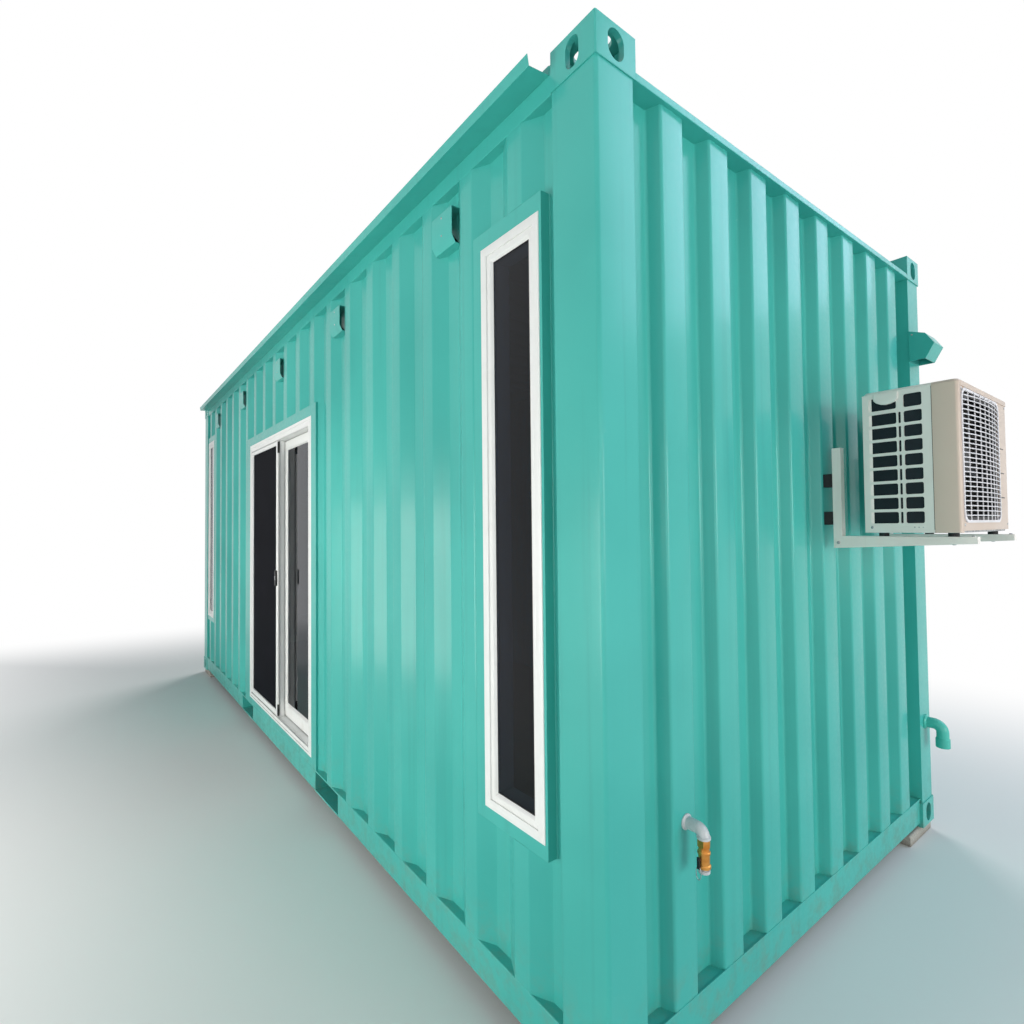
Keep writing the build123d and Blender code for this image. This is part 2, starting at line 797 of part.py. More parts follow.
# Folded gutter along the front rail
gutter_length = rail_span - 2 * gutter_end_gap
gutter_level = roof_level - gutter_hang
with BuildPart() as roof_gutter:
    with BuildSketch(Plane.YZ.offset(-gutter_length / 2)):
        with BuildLine():
            Polyline(
                (-wall_face, roof_level),
                (-wall_face, gutter_level),
                (-wall_face - gutter_reach, gutter_level - gutter_fall),
                (-wall_face - gutter_reach - gutter_lip_lean, gutter_level - gutter_fall + gutter_lip),
            )
            offset(amount=sheet, side=Side.RIGHT, kind=Kind.INTERSECTION)
        make_face()
    extrude(amount=gutter_length)
finish(roof_gutter, "roof_gutter")

# Folded vent covers set into the valleys high on the front wall, slanted below and open at the sides
with BuildPart() as wall_vents:
    vent_top = wall_top - vent_top_gap
    vent_bottom = vent_top - vent_height
    vent_back = wall_face - rib_depth
    vent_front = wall_face + vent_projection
    vent_side_back = vent_back + (vent_width - valley_width) / 2 * rib_depth / rib_slope
    for index in range(vent_count):
        place = (index - (vent_count - 1) / 2) * vent_rib_step * rib_pitch
        with BuildSketch(Plane.XY.offset(vent_bottom)):
            with BuildLine():
                Polyline(
                    (place - vent_width / 2, -vent_front),
                    (place - vent_width / 2, -vent_side_back),
                    (place - valley_width / 2, -vent_back),
                    (place + valley_width / 2, -vent_back),
                    (place + vent_width / 2, -vent_side_back),
                    (place + vent_width / 2, -vent_front),
                    close=True,
                )
            make_face()
        extrude(amount=vent_height)
    with BuildSketch(Plane.YZ.offset(-half_length)):
        with BuildLine():
            Polyline(
                (-vent_front, vent_bottom),
                (-wall_face, vent_bottom),
                (-vent_front, vent_bottom + vent_slant),
                close=True,
            )
        make_face()
        with BuildLine():
            Polyline(
                (-vent_back, vent_bottom + vent_sheet),
                (-wall_face, vent_bottom + vent_sheet),
                (-vent_front + vent_sheet, vent_bottom + vent_slant + vent_sheet),
                (-vent_front + vent_sheet, vent_top - vent_sheet),
                (-vent_back, vent_top - vent_sheet),
                close=True,
            )
        make_face()
    extrude(amount=container_length, mode=Mode.SUBTRACT)
finish(wall_vents, "wall_vents")

# Air conditioner casing, a thin shell with a lid, open at the fan and at the side louvres
ac_back = end_face + ac_setout
ac_front = ac_back + ac_depth
ac_level = base + ac_bottom
ac_top = ac_level + ac_height
near_bracket = end_rib_pitch / 2 - bracket_crest_offset
far_bracket = near_bracket + bracket_span_ribs * end_rib_pitch
ac_centre = ((ac_back + ac_front) / 2, (near_bracket + far_bracket) / 2)
ac_near_side = ac_centre[1] - ac_width / 2
fan_centre = (ac_near_side + grille_near_margin + grille_width / 2, (ac_level + ac_top) / 2)


def rounded_plan(level, margin):
    """Plan of the air conditioner at a level, grown by a margin on every side."""
    with BuildSketch(Plane.XY.offset(level)) as plan:
        with Locations(ac_centre):
            RectangleRounded(ac_depth + 2 * margin, ac_width + 2 * margin, ac_corner_radius + margin)
    return plan.sketch


with BuildPart() as ac_casing:
    add(rounded_plan(ac_level, 0))
    extrude(amount=ac_height - lid_height)
    add(rounded_plan(ac_top - lid_height, lid_overhang))
    extrude(amount=lid_height)
    chamfer(ac_casing.faces().sort_by(Axis.Z)[-1].edges(), lid_edge)
    grip_width = louvre_wide
    with BuildSketch(Plane.XZ.offset(-ac_near_side)):
        with Locations((ac_back + louvre_inset + grip_width / 2, ac_top - louvre_first + grip_height / 2)):
            RectangleRounded(grip_width, grip_height, grip_radius)
    extrude(amount=grip_projection)
    add(rounded_plan(ac_level + ac_shell, -ac_shell))
    extrude(amount=ac_height - 2 * ac_shell, mode=Mode.SUBTRACT)
    with BuildSketch(Plane.YZ.offset(ac_front - 2 * ac_shell)):
        with Locations(fan_centre):
            RectangleRounded(grille_width, grille_height, grille_corner_radius)
    extrude(amount=3 * ac_shell, mode=Mode.SUBTRACT)
    with BuildSketch(Plane.XZ.offset(-ac_near_side - 2 * ac_shell)):
        slot_start = ac_back + louvre_inset + louvre_wide + louvre_rib
        narrow_start = slot_start + louvre_slot + louvre_rib
        for row in range(louvre_rows):
            height = ac_top - louvre_first - row * louvre_pitch
            with Locations((ac_back + louvre_inset + louvre_wide / 2, height)):
                RectangleRounded(louvre_wide, louvre_height, louvre_radius)
            with Locations((slot_start + louvre_slot / 2, height)):
                Rectangle(louvre_slot, louvre_height)
            with Locations((narrow_start + louvre_narrow / 2, height)):
                RectangleRounded(louvre_narrow, louvre_height, louvre_radius)
    extrude(amount=2 * ac_shell, mode=Mode.SUBTRACT)
finish(ac_casing, "ac_casing")

# Finned coil behind the louvres and across the back
coil_clear = ac_shell + coil_gap
coil_front = ac_back + coil_clear + coil_thickness
with BuildPart() as ac_coil:
    with BuildSketch(Plane.XY.offset(ac_level + ac_shell)):
        with BuildLine():
            Polyline(
                (ac_front - coil_end_gap, ac_near_side + coil_clear),
                (ac_back + coil_clear, ac_near_side + coil_clear),
                (ac_back + coil_clear, ac_near_side + ac_width - coil_end_gap),
            )
            offset(amount=coil_thickness, side=Side.RIGHT, kind=Kind.INTERSECTION)
        make_face()
    extrude(amount=ac_height - 2 * ac_shell)
finish(ac_coil, "ac_coil")

# Fan on its motor, carried by the coil plate behind it, with pitched blades
with BuildPart() as ac_fan:
    fan_plane_x = ac_front - fan_setback
    with BuildSketch(Plane.YZ.offset(coil_front)):
        with Locations(fan_centre):
            Circle(fan_motor_radius)
    extrude(amount=fan_plane_x - fan_hub_depth / 2 - coil_front)
    with BuildSketch(Plane.YZ.offset(fan_plane_x - fan_hub_depth / 2)):
        with Locations(fan_centre):
            Circle(fan_hub_radius)
    extrude(amount=fan_hub_depth)
    for index in range(blade_count):
        turn = radians(index * 360 / blade_count)
        lean = radians(blade_pitch)
        across = (0, cos(turn), sin(turn))
        facing = (cos(lean), -sin(turn) * sin(lean), cos(turn) * sin(lean))
        blade_shoulder = blade_radius * blade_tip_share
        with BuildSketch(Plane(origin=(fan_plane_x, *fan_centre), x_dir=across, z_dir=facing)):
            with BuildLine():
                tip = ThreePointArc((blade_shoulder, -blade_tip_chord / 2), (blade_radius, 0),
                                    (blade_shoulder, blade_tip_chord / 2))
                Polyline(tip @ 0, (0, -blade_root_chord / 2), (0, blade_root_chord / 2), tip @ 1)
            make_face()
        extrude(amount=blade_sheet / 2, both=True)
finish(ac_fan, "ac_fan")

# Fan grille, curved bars on uprights inside a flat rim, closed above and below
grille_left = fan_centre[0] - grille_width / 2
grille_right = fan_centre[0] + grille_width / 2
grille_top_row = (grille_rows - 1) / 2 * grille_row_pitch
first_row = fan_centre[1] - grille_bar / 2 - grille_top_row
row_levels = [first_row + row * grille_row_pitch for row in range(grille_rows)]


def bowed(out):
    """Arc across the grille in plan, this far out from the casing's front."""
    return ThreePointArc((ac_front + out, grille_left), (ac_front + out + grille_bulge, fan_centre[0]),
                         (ac_front + out, grille_right))


with BuildPart() as ac_fan_grille:
    with BuildSketch(Plane.YZ.offset(ac_front)):
        with Locations(fan_centre):
            RectangleRounded(grille_width + 2 * grille_lap, grille_height + 2 * grille_lap,
                             grille_corner_radius + grille_lap)
            RectangleRounded(grille_width, grille_height, grille_corner_radius, mode=Mode.SUBTRACT)
    extrude(amount=grille_bar)
    with BuildSketch(*[Plane.XY.offset(level) for level in row_levels]):
        with BuildLine():
            outer = bowed(grille_bar)
            inner = bowed(0)
            Line(outer @ 0, inner @ 0)
            Line(outer @ 1, inner @ 1)
        make_face()
    extrude(amount=grille_bar)
    with BuildSketch(*[Plane.XY.offset(fan_centre[1] - grille_bar / 2 + rise)
                       for rise in (-grille_height / 2, grille_height / 2)]):
        with BuildLine():
            cap = bowed(grille_bar)
            Polyline(cap @ 0, (ac_front, grille_left), (ac_front, grille_right), cap @ 1)
        make_face()
    extrude(amount=grille_bar)
    for index in range(grille_uprights):
        share = (index + 1) / (grille_uprights + 1)
        upright_y = grille_left + share * grille_width
        upright_x = ac_front + grille_bulge * 4 * share * (1 - share)
        with BuildSketch(Plane.XY.offset(fan_centre[1] - grille_height / 2)):
            with Locations((upright_x + grille_bar / 2, upright_y)):
                Rectangle(grille_bar, grille_bar)
        extrude(amount=grille_height)
finish(ac_fan_grille, "ac_fan_grille")

# Wall brackets folded from sheet, their rubber blocks against the wall and the feet on their arms
bracket_back = end_face + bracket_setout
arm_top = ac_level - foot_height
bracket_low = arm_top - bracket_arm_height
bracket_places = (near_bracket, far_bracket)
with BuildPart() as ac_brackets:
    for place in bracket_places:
        with BuildSketch(Plane.XZ.offset(-place - bracket_width / 2)) as web:
            with BuildLine():
                Polyline(
                    (bracket_back, bracket_low),
                    (bracket_back + bracket_arm, arm_top - bracket_tip_height),
                    (bracket_back + bracket_arm, arm_top),
                    (bracket_back + bracket_leg_depth, arm_top),
                    (bracket_back + bracket_leg_depth, bracket_low + bracket_leg),
                    (bracket_back, bracket_low + bracket_leg),
                    close=True,
                )
            make_face()
        extrude(amount=bracket_width)
        with BuildSketch(Plane.XZ.offset(-place - bracket_width / 2)):
            add(web.sketch)
            offset(amount=-bracket_sheet, kind=Kind.INTERSECTION, mode=Mode.REPLACE)
        extrude(amount=bracket_width - bracket_sheet, mode=Mode.SUBTRACT)
finish(ac_brackets, "ac_brackets")

with BuildPart() as rubber_mounts:
    for place in bracket_places:
        for rise in (lower_spacer_rise, upper_spacer_rise):
            with BuildSketch(Plane.YZ.offset(end_face)):
                with Locations((place, bracket_low + rise)):
                    Rectangle(bracket_width, spacer_height)
            extrude(amount=bracket_setout)
        with BuildSketch(Plane.XY.offset(arm_top)):
            with Locations((ac_back + foot_inset, place), (ac_front - foot_inset, place)):
                Circle(foot_radius)
        extrude(amount=foot_height)
finish(rubber_mounts, "rubber_mounts")

# Hood folded from sheet on the far post, open below
post_face = half_length - post_inset
hood_bottom = wall_top - hood_top_gap - hood_height
hood_right = half_width - hood_far_inset
with BuildPart() as cable_hood:
    with BuildSketch(Plane.XZ.offset(-hood_right)) as hood_side:
        with BuildLine():
            Polyline(
                (post_face, hood_bottom),
                (post_face + hood_shoulder, hood_bottom),
                (post_face + hood_projection, hood_bottom + hood_nose_rise),
                (post_face + hood_shoulder, hood_bottom + hood_shoulder_rise),
                (post_face, hood_bottom + hood_height),
                close=True,
            )
        make_face()
    extrude(amount=hood_width)
    with BuildSketch(Plane.XZ.offset(-hood_right + hood_sheet)):
        add(hood_side.sketch)
        offset(amount=-hood_sheet, kind=Kind.INTERSECTION, mode=Mode.REPLACE)
        with Locations((post_face + hood_shoulder / 2, hood_bottom + hood_sheet)):
            Rectangle(hood_shoulder - 2 * hood_sheet, 2 * hood_sheet)
    extrude(amount=hood_width - 2 * hood_sheet, mode=Mode.SUBTRACT)
finish(cable_hood, "cable_hood")


def elbow(wall_x, y, z, radius, reach, bend, drop):
    """Round bar that leaves a wall along +X and turns down."""
    with BuildPart() as bar:
        with BuildSketch(Plane.YZ.offset(wall_x)):
            with Locations((y, z)):
                Circle(radius)
        extrude(amount=reach - bend)
        with BuildSketch(Plane.YZ.offset(wall_x + reach - bend)):
            with Locations((y, z)):
                Circle(radius)
        revolve(axis=Axis((wall_x + reach - bend, y, z - bend), (0, 1, 0)), revolution_arc=90)
        with BuildSketch(Plane.XY.offset(z - drop)):
            with Locations((wall_x + reach, y)):
                Circle(radius)
        extrude(amount=drop - bend)
    return bar.part


# Drain elbow, a bent pipe with a flange on the post and a socket at its open end
drain_y = half_width - drain_from_edge
drain_z = base + drain_level
drain_x = post_face + drain_reach
drain_bar = elbow(post_face, drain_y, drain_z, drain_radius, drain_reach, drain_bend, drain_drop)
with BuildPart() as drain_elbow:
    add(drain_bar)
    with BuildSketch(Plane.YZ.offset(post_face)):
        with Locations((drain_y, drain_z)):
            Circle(drain_flange)
    extrude(amount=drain_flange_depth)
    with BuildSketch(Plane.XY.offset(drain_z - drain_drop)):
        with Locations((drain_x, drain_y)):
            Circle(drain_collar)
    extrude(amount=drain_collar_height)
    with BuildSketch(Plane.XY.offset(drain_z - drain_drop)):
        with Locations((drain_x, drain_y)):
            Circle(drain_bore)
    extrude(amount=drain_collar_height, mode=Mode.SUBTRACT)
finish(drain_elbow, "drain_elbow")

# Water inlet on the outermost rib near the front post, a bent pipe with a flange and a collar
inlet_y = inlet_crest_offset - (end_rib_count - 1) / 2 * end_rib_pitch
inlet_z = base + inlet_level
inlet_x = end_face + inlet_reach
inlet_end = inlet_z - inlet_drop
inlet_bar = elbow(end_face, inlet_y, inlet_z, inlet_radius, inlet_reach, inlet_bend, inlet_drop)
with BuildPart() as water_inlet:
    add(inlet_bar)
    with BuildSketch(Plane.YZ.offset(end_face)):
        with Locations((inlet_y, inlet_z)):
            Circle(inlet_flange)
    extrude(amount=inlet_flange_depth)
    with BuildSketch(Plane.XY.offset(inlet_end)):
        with Locations((inlet_x, inlet_y)):
            Circle(inlet_collar)
    extrude(amount=inlet_collar_height)
finish(water_inlet, "water_inlet")

# Turned brass connector with a hexagon at its top and a ring above its spigot
with BuildPart() as brass_connector:
    brass_end = inlet_end - brass_height
    body_top = brass_height - hexagon_height
    with BuildSketch(Plane.XY.offset(brass_end + body_top)):
        with Locations((inlet_x, inlet_y)):
            RegularPolygon(hexagon_radius, 6)
    extrude(amount=hexagon_height)
    with BuildSketch(Plane(origin=(inlet_x, inlet_y, brass_end), x_dir=(1, 0, 0), z_dir=(0, -1, 0))):
        with BuildLine():
            Polyline(
                (0, 0),
                (brass_spigot, 0),
                (brass_spigot, brass_spigot_height),
                (brass_ring, brass_spigot_height),
                (brass_ring, brass_spigot_height + brass_ring_height),
                (brass_radius, brass_spigot_height + brass_ring_height + brass_round),
                (brass_radius, body_top - brass_radius + brass_neck),
                (brass_neck, body_top),
                (0, body_top),
                close=True,
            )
        make_face()
    revolve(axis=Axis((inlet_x, inlet_y, brass_end), (0, 0, 1)))
finish(brass_connector, "brass_connector")
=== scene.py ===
import json
import math

import bmesh
import bpy
import numpy as np
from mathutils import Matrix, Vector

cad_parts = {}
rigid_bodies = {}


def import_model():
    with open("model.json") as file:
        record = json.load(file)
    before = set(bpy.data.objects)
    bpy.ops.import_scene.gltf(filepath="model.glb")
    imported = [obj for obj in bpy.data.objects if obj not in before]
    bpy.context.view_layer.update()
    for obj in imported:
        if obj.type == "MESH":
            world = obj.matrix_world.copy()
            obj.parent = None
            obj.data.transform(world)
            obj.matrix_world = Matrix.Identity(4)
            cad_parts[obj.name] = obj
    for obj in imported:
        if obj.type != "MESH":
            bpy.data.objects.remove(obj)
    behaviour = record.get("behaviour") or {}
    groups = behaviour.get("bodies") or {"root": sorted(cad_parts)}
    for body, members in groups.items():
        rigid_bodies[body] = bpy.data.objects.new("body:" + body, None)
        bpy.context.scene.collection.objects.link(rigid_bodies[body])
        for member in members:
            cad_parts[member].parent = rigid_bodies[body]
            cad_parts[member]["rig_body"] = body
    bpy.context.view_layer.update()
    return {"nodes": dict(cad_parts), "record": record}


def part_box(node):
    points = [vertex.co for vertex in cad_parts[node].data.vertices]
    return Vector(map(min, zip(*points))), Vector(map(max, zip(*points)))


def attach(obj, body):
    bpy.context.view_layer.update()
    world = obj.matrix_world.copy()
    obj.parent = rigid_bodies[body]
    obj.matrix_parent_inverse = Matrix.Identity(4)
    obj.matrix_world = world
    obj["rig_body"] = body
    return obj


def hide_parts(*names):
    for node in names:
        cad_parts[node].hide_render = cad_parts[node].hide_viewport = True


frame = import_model()
node_objects = frame["nodes"]

# Camera, from the photograph, in metres, degrees and pixels; the sensor in millimetres
camera_place = (4.0233, -2.2733, 1.5774)
camera_turn, camera_tilt, camera_roll = 52.53, 1.51, -0.583
focal_pixels, photo_pixels, sensor_width = 555.66, 1024, 36.0

# Steel sheets; ribs as count, pitch, crest, slope and radius of the bends; rivet, screws and bolts
# as radius and height
sheet = 0.002
long_wall_ribs = (20, 0.281, 0.072, 0.068, 0.016)
end_wall_ribs = (8, 0.250, 0.110, 0.018, 0.012)
arc_steps = 5
merge_distance = 0.000002
flat_angle, bevel_angle = math.radians(0.3), math.radians(32.0)
rail_sheet, rail_flange, rail_bend = 0.0045, 0.048, 0.004
pocket_centre, pocket_width = 0.935, 0.368
weld_radius, weld_step = 0.003, 0.008
surround_depth = 0.036
vent_count, vent_width, vent_rivet_drops = 5, 0.144, (0.018, 0.085)
rivet = (0.004, 0.002)

# White frames of the windows and the door
window_width, window_hole_width = 0.302, 0.362
window_frame_face, window_sash_face = 0.030, 0.028
window_sash_step, window_glass_setback = 0.005, 0.014
glazing_bead, bead_setback, leaf_edge = 0.011, 0.003, 0.002
leaf_stile, leaf_head, leaf_foot = 0.070, 0.050, 0.075
screen_stile, screen_head, screen_foot = 0.040, 0.028, 0.040
door_jamb, door_sill = 0.053, 0.040
latch_height, latch_rise = 0.105, 0.055
guide_height, guide_edge = 0.08, 0.0004
vinyl_edge, mitre_gap, gasket_width = 0.0015, 0.0004, 0.003

# Air conditioner; casing_grip is how far the CAD's plain grip stands out from the casing's side
casing_seam_setback, half_seam = 0.078, 0.0008
casing_lid, casing_lid_height = 0.0025, 0.024
casing_grip = 0.007
grip_outline = ((0.0415, -0.034), (0.05, -0.044), (0.064, -0.0515), (0.08, -0.0545), (0.096, -0.0525),
                (0.113, -0.046), (0.1195, -0.036), (0.1195, -0.012), (0.0415, -0.012))
guard_rows, guard_uprights, wire_points, wire_sides = 26, 7, 17, 6
guard_wire, guard_bulge, guard_margin, guard_corner = 0.0021, 0.015, 0.009, 0.036
guard_end_rows, guard_end_inset = 0.03, 0.012
shroud_corner, shroud_sheet, shroud_depth, shroud_gap = 0.11, 0.003, 0.06, 0.003
shroud_mouth, shroud_lap = 0.95, 1.02
panel_proud = 0.005
louvre_columns = ((0.0247, 0.1123), (0.1184, 0.1260), (0.1347, 0.1891))
louvre_rows, louvre_pitch, louvre_height = 9, 0.0511, 0.0408
first_louvre_top, first_louvre_height, second_louvre_top = 0.0263, 0.0465, 0.0862
louvre_corner, grip_corner = 0.006, 0.003
bracket_bar, wall_bolt_rises = 0.032, (0.118, 0.268)
casing_screw, casing_plug = (0.005, 0.0015), (0.002, 0.001)
root_bolt, wall_bolt = (0.0065, 0.004), (0.007, 0.005)
foot_bolt, stop_bolt = (0.008, 0.006), (0.006, 0.004)

# Pipes on the right end wall: radius, reach, bend and drop; radius, depth and chamfer of the flange
inlet_pipe, inlet_flange = (0.0175, 0.058, 0.021, 0.024), (0.023, 0.004, 0.001)
drain_pipe, drain_flange = (0.0265, 0.072, 0.036, 0.110), (0.036, 0.008, 0.002)
drain_socket, drain_socket_height, drain_bore, drain_stop = 0.0305, 0.045, 0.025, 0.013
brass_rise = 0.014
elbow_steps, elbow_sides = 12, 28

# Stage
floor_reach, fade_start, fade_end = 60.0, 0.2, 3.6
cabin_half_length, cabin_half_width = 3.0, 1.2
sky_colour, sky_strength = (0.8, 0.9, 1.0), 0.28


def corners(node):
    """Lowest and highest corner of a CAD node, as arrays."""
    low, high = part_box(node)
    return np.array(low), np.array(high)


def linear(colour):
    """A display colour of 0 to 255 as scene linear values."""
    shares = np.array(colour) / 255
    return np.where(shares <= 0.04045, shares / 12.92, ((shares + 0.055) / 1.055) ** 2.4).tolist()


class Value:
    """One socket of a node tree; arithmetic on it adds Math nodes."""

    def __init__(self, nodes, socket):
        self.nodes, self.socket = nodes, socket

    def maths(self, operation, *values):
        inputs = dict(enumerate((self, *values)))
        return self.nodes.add("ShaderNodeMath", {"operation": operation}, inputs)

    def __add__(self, other):
        return self.maths("ADD", other)

    def __sub__(self, other):
        return self.maths("SUBTRACT", other)

    def __mul__(self, other):
        return self.maths("MULTIPLY", other)

    def __truediv__(self, other):
        return self.maths("DIVIDE", other)

    def between(self, low, high, to_low=0.0, to_high=1.0):
        """The value's place between low and high, as a smooth number from to_low to to_high."""
        inputs = dict(enumerate((self, low, high, to_low, to_high)))
        return self.nodes.add("ShaderNodeMapRange", {"interpolation_type": "SMOOTHSTEP"}, inputs)


class NodeTree:
    """The nodes of a material or of the world."""

    def __init__(self, tree):
        self.tree = tree

    def add(self, kind, settings, inputs, output=0):
        """Add a node, set its settings, feed its sockets and return one output."""
        node = self.tree.nodes.new(kind)
        for key, value in settings.items():
            setattr(node, key, value)
        for key, value in inputs.items():
            self.feed(node.inputs[key], value)
        return Value(self, node.outputs[output])

    def feed(self, socket, value):
        """Link a Value to a socket or set a constant; a colour is given as a display's, 0 to 255."""
        if isinstance(value, Value):
            self.tree.links.new(value.socket, socket)
        elif isinstance(value, tuple) and socket.type == "RGBA":
            socket.default_value = (*linear(value), 1.0)
        else:
            socket.default_value = value


class Shader(NodeTree):
    """A material built from nodes round one Principled shader, in Object coordinates."""

    def __init__(self, name, **constants):
        self.material = bpy.data.materials.new(name)
        self.material.use_nodes = True
        super().__init__(self.material.node_tree)
        self.principled = self.tree.nodes["Principled BSDF"]
        for socket, value in constants.items():
            self.set(socket.replace("_", " "), value)
        self.place = self.add("ShaderNodeTexCoord", {}, {}, "Object")

    def set(self, socket, value):
        self.feed(self.principled.inputs[socket], value)

    def finished(self, colour, roughness, normal=None):
        """Feed the shader what changes over the surface and return the material."""
        self.set("Base Color", colour)
        self.set("Roughness", roughness)
        if normal:
            self.set("Normal", normal)
        return self.material

    def stretch(self, scale):
        """Object coordinates multiplied along each axis."""
        return self.add("ShaderNodeMapping", {}, {"Vector": self.place, "Scale": scale})

    def axis(self, index):
        """One of the three Object coordinates."""
        return self.add("ShaderNodeSeparateXYZ", {}, {0: self.place}, index)

    def noise(self, scale, detail=3.0, roughness=0.5, place=None):
        inputs = {"Vector": place or self.place, "Scale": scale, "Detail": detail,
                  "Roughness": roughness}
        return self.add("ShaderNodeTexNoise", {}, inputs)

    def cells(self, scale):
        return self.add("ShaderNodeTexVoronoi", {}, {"Vector": self.place, "Scale": scale})

    def mix(self, share, first, second):
        """Blend two colours by a share."""
        return self.add("ShaderNodeMix", {"data_type": "RGBA"}, {0: share, 6: first, 7: second}, 2)

    def bump(self, height, distance, strength=1.0, below=None):
        inputs = {"Height": height, "Distance": distance, "Strength": strength}
        if below:
            inputs["Normal"] = below
        return self.add("ShaderNodeBump", {}, inputs)


def teal_enamel(name, light, dark, streaks=1.0):
    """Gloss enamel on pressed steel: slow tone changes, rain streaks, chalk, splashes low down."""
    s = Shader(name, Coat_Weight=0.32, Coat_Roughness=0.16, Specular_IOR_Level=0.15)
    tone = s.noise(0.9, 4.0)
    streak = s.noise(1.0, 5.0, 0.6, s.stretch((22.0, 22.0, 0.55)))
    chalk = s.noise(55.0, 4.0, 0.65)
    splash = s.axis(2).between(0.05, 0.42, 1.0, 0.0) * s.noise(14.0, 5.0, 0.7).between(0.42, 0.7)
    colour = s.mix(tone.between(0.35, 0.65), light, dark)
    colour = s.mix(streak.between(0.52, 0.75) * (0.16 * streaks), colour, (52, 120, 114))
    colour = s.mix(chalk.between(0.6, 0.85) * 0.1, colour, (150, 200, 190))
    colour = s.mix(splash * 0.35, colour, (128, 118, 96))
    peel = s.bump(s.noise(420.0, 2.0), 0.0001, 0.25)
    dents = s.bump(s.noise(3.2, 2.0, place=s.stretch((1.0, 1.0, 0.5))), 0.006, 0.5, peel)
    return s.finished(colour, chalk.between(0.2, 0.8, 0.3, 0.46) + splash * 0.25, dents)


def white_vinyl():
    """Smooth extruded vinyl, with faint extrusion lines and dust that gathers low down."""
    s = Shader("white_vinyl", IOR=1.5)
    grime = s.noise(9.0, 5.0, 0.65)
    dust = s.axis(2).between(0.25, 0.9, 1.0, 0.25) * grime.between(0.45, 0.75)
    colour = s.mix(dust * 0.4, (232, 234, 232), (192, 189, 178))
    lines = s.bump(s.noise(60.0, 2.0, place=s.stretch((6.0, 6.0, 0.05))), 0.0002, 0.4)
    return s.finished(colour, grime.between(0.3, 0.7, 0.3, 0.45), lines)


def tint_and_shade_glass():
    """Float glass with a dark tint, partly its own tint and partly painted shade of the dim room behind
    it, with faint rain marks.
    """
    s = Shader("tint_and_shade_glass", IOR=1.25, Transmission_Weight=1.0)
    marks = s.noise(7.0, 5.0, 0.7).between(0.5, 0.8)
    # The dark base colour of the glass is partly painted shade of the dim room behind it.
    return s.finished((88, 102, 120), marks * 0.04, s.bump(s.noise(1.6, 1.0), 0.004, 0.12))


def insect_mesh():
    """Black woven mesh, fine enough to read as a dark veil; the threads stand up in the bump."""
    s = Shader("insect_mesh", Specular_IOR_Level=0.06)
    threads = (s.axis(0) * 2200.0).maths("SINE") * (s.axis(2) * 2200.0).maths("SINE")
    weave = threads.between(-1.0, 1.0)
    s.set("Alpha", weave.between(0.0, 0.25, 0.96, 1.0))
    colour = s.mix(s.noise(5.0, 4.0).between(0.4, 0.75), (9, 11, 17), (15, 17, 24))
    return s.finished(colour, weave.between(0.0, 1.0, 0.75, 0.9), s.bump(weave, 0.0003, 0.6))


def moulded(name, colour, worn, roughness=0.45, grain=160.0):
    """Moulded plastic or rubber with a fine grain and slightly worn patches."""
    s = Shader(name)
    wear = s.noise(12.0, 4.0, 0.6)
    return s.finished(s.mix(wear.between(0.45, 0.75), colour, worn),
                      wear.between(0.3, 0.7, roughness - 0.08, roughness + 0.12),
                      s.bump(s.cells(grain), 0.0003, 0.3))


def baked_enamel(name, colour, aged, front_colour=None, seam=0.0):
    """Powder-baked sheet steel, aged in patches; beyond the seam it may be another colour."""
    s = Shader(name, Coat_Weight=0.1, Coat_Roughness=0.3)
    patch = s.noise(4.0, 4.0, 0.6)
    run = s.noise(1.0, 4.0, 0.6, s.stretch((40.0, 40.0, 2.0)))
    tone = s.mix(patch.between(0.4, 0.7) * 0.5, colour, aged)
    if front_colour:
        tone = s.mix(s.axis(0).between(seam - 0.001, seam + 0.001), tone, front_colour)
    tone = s.mix(run.between(0.6, 0.8) * 0.1, tone, (150, 140, 120))
    grain = s.bump(s.noise(500.0, 2.0), 0.0002, 0.3)
    return s.finished(tone, patch.between(0.3, 0.7, 0.34, 0.48), grain)


def coil_fins():
    """Close upright aluminium fins, dulled; their dark colour is painted shade inside the casing, with
    darker painted shade in the gaps between them.
    """
    s = Shader("coil_fins", Metallic=0.6)
    fin = ((s.axis(0) + s.axis(1)) * 520.0).maths("FRACT").between(0.2, 0.6)
    # Painted shade: near black in the gaps between the fins, dark grey on the fins for the shade inside
    # the casing.
    return s.finished(s.mix(fin, (12, 16, 20), (40, 52, 60)), fin * 0.3 + 0.4, s.bump(fin, 0.0015, 0.8))


def cast_concrete():
    """Cast concrete with sand grain, pits and a colour darker within 3 cm of the bottom."""
    s = Shader("cast_concrete")
    grain, stain = s.noise(160.0, 5.0, 0.7), s.noise(7.0, 4.0)
    colour = s.mix(grain.between(0.35, 0.7), (150, 146, 138), (186, 182, 172))
    colour = s.mix(stain.between(0.5, 0.8) * 0.4, colour, (120, 112, 98))
    # Darker within 3 cm of the bottom.
    colour = s.mix(s.axis(2).between(0.0, 0.03, 0.5, 0.0), colour, (96, 88, 76))
    pits = s.bump(s.cells(90.0).between(0.0, 0.25), 0.002, 0.5, s.bump(grain, 0.001, 0.6))
    return s.finished(colour, grain * 0.2 + 0.75, pits)


def floor_plywood():
    """Varnished plywood boards, 1.2 m wide, with long grain and dark joints."""
    s = Shader("floor_plywood", Coat_Weight=0.2)
    grain = s.noise(3.0, 6.0, 0.65, s.stretch((1.0, 16.0, 1.0)))
    joint = ((s.axis(0) / 1.2).maths("FRACT") - 0.5).maths("ABSOLUTE").between(0.494, 0.499)
    colour = s.mix(grain.between(0.3, 0.7), (150, 112, 72), (104, 72, 44))
    colour = s.mix(joint, colour, (30, 22, 16))
    return s.finished(colour, grain * 0.2 + 0.35, s.bump(grain - joint, 0.001, 0.5))


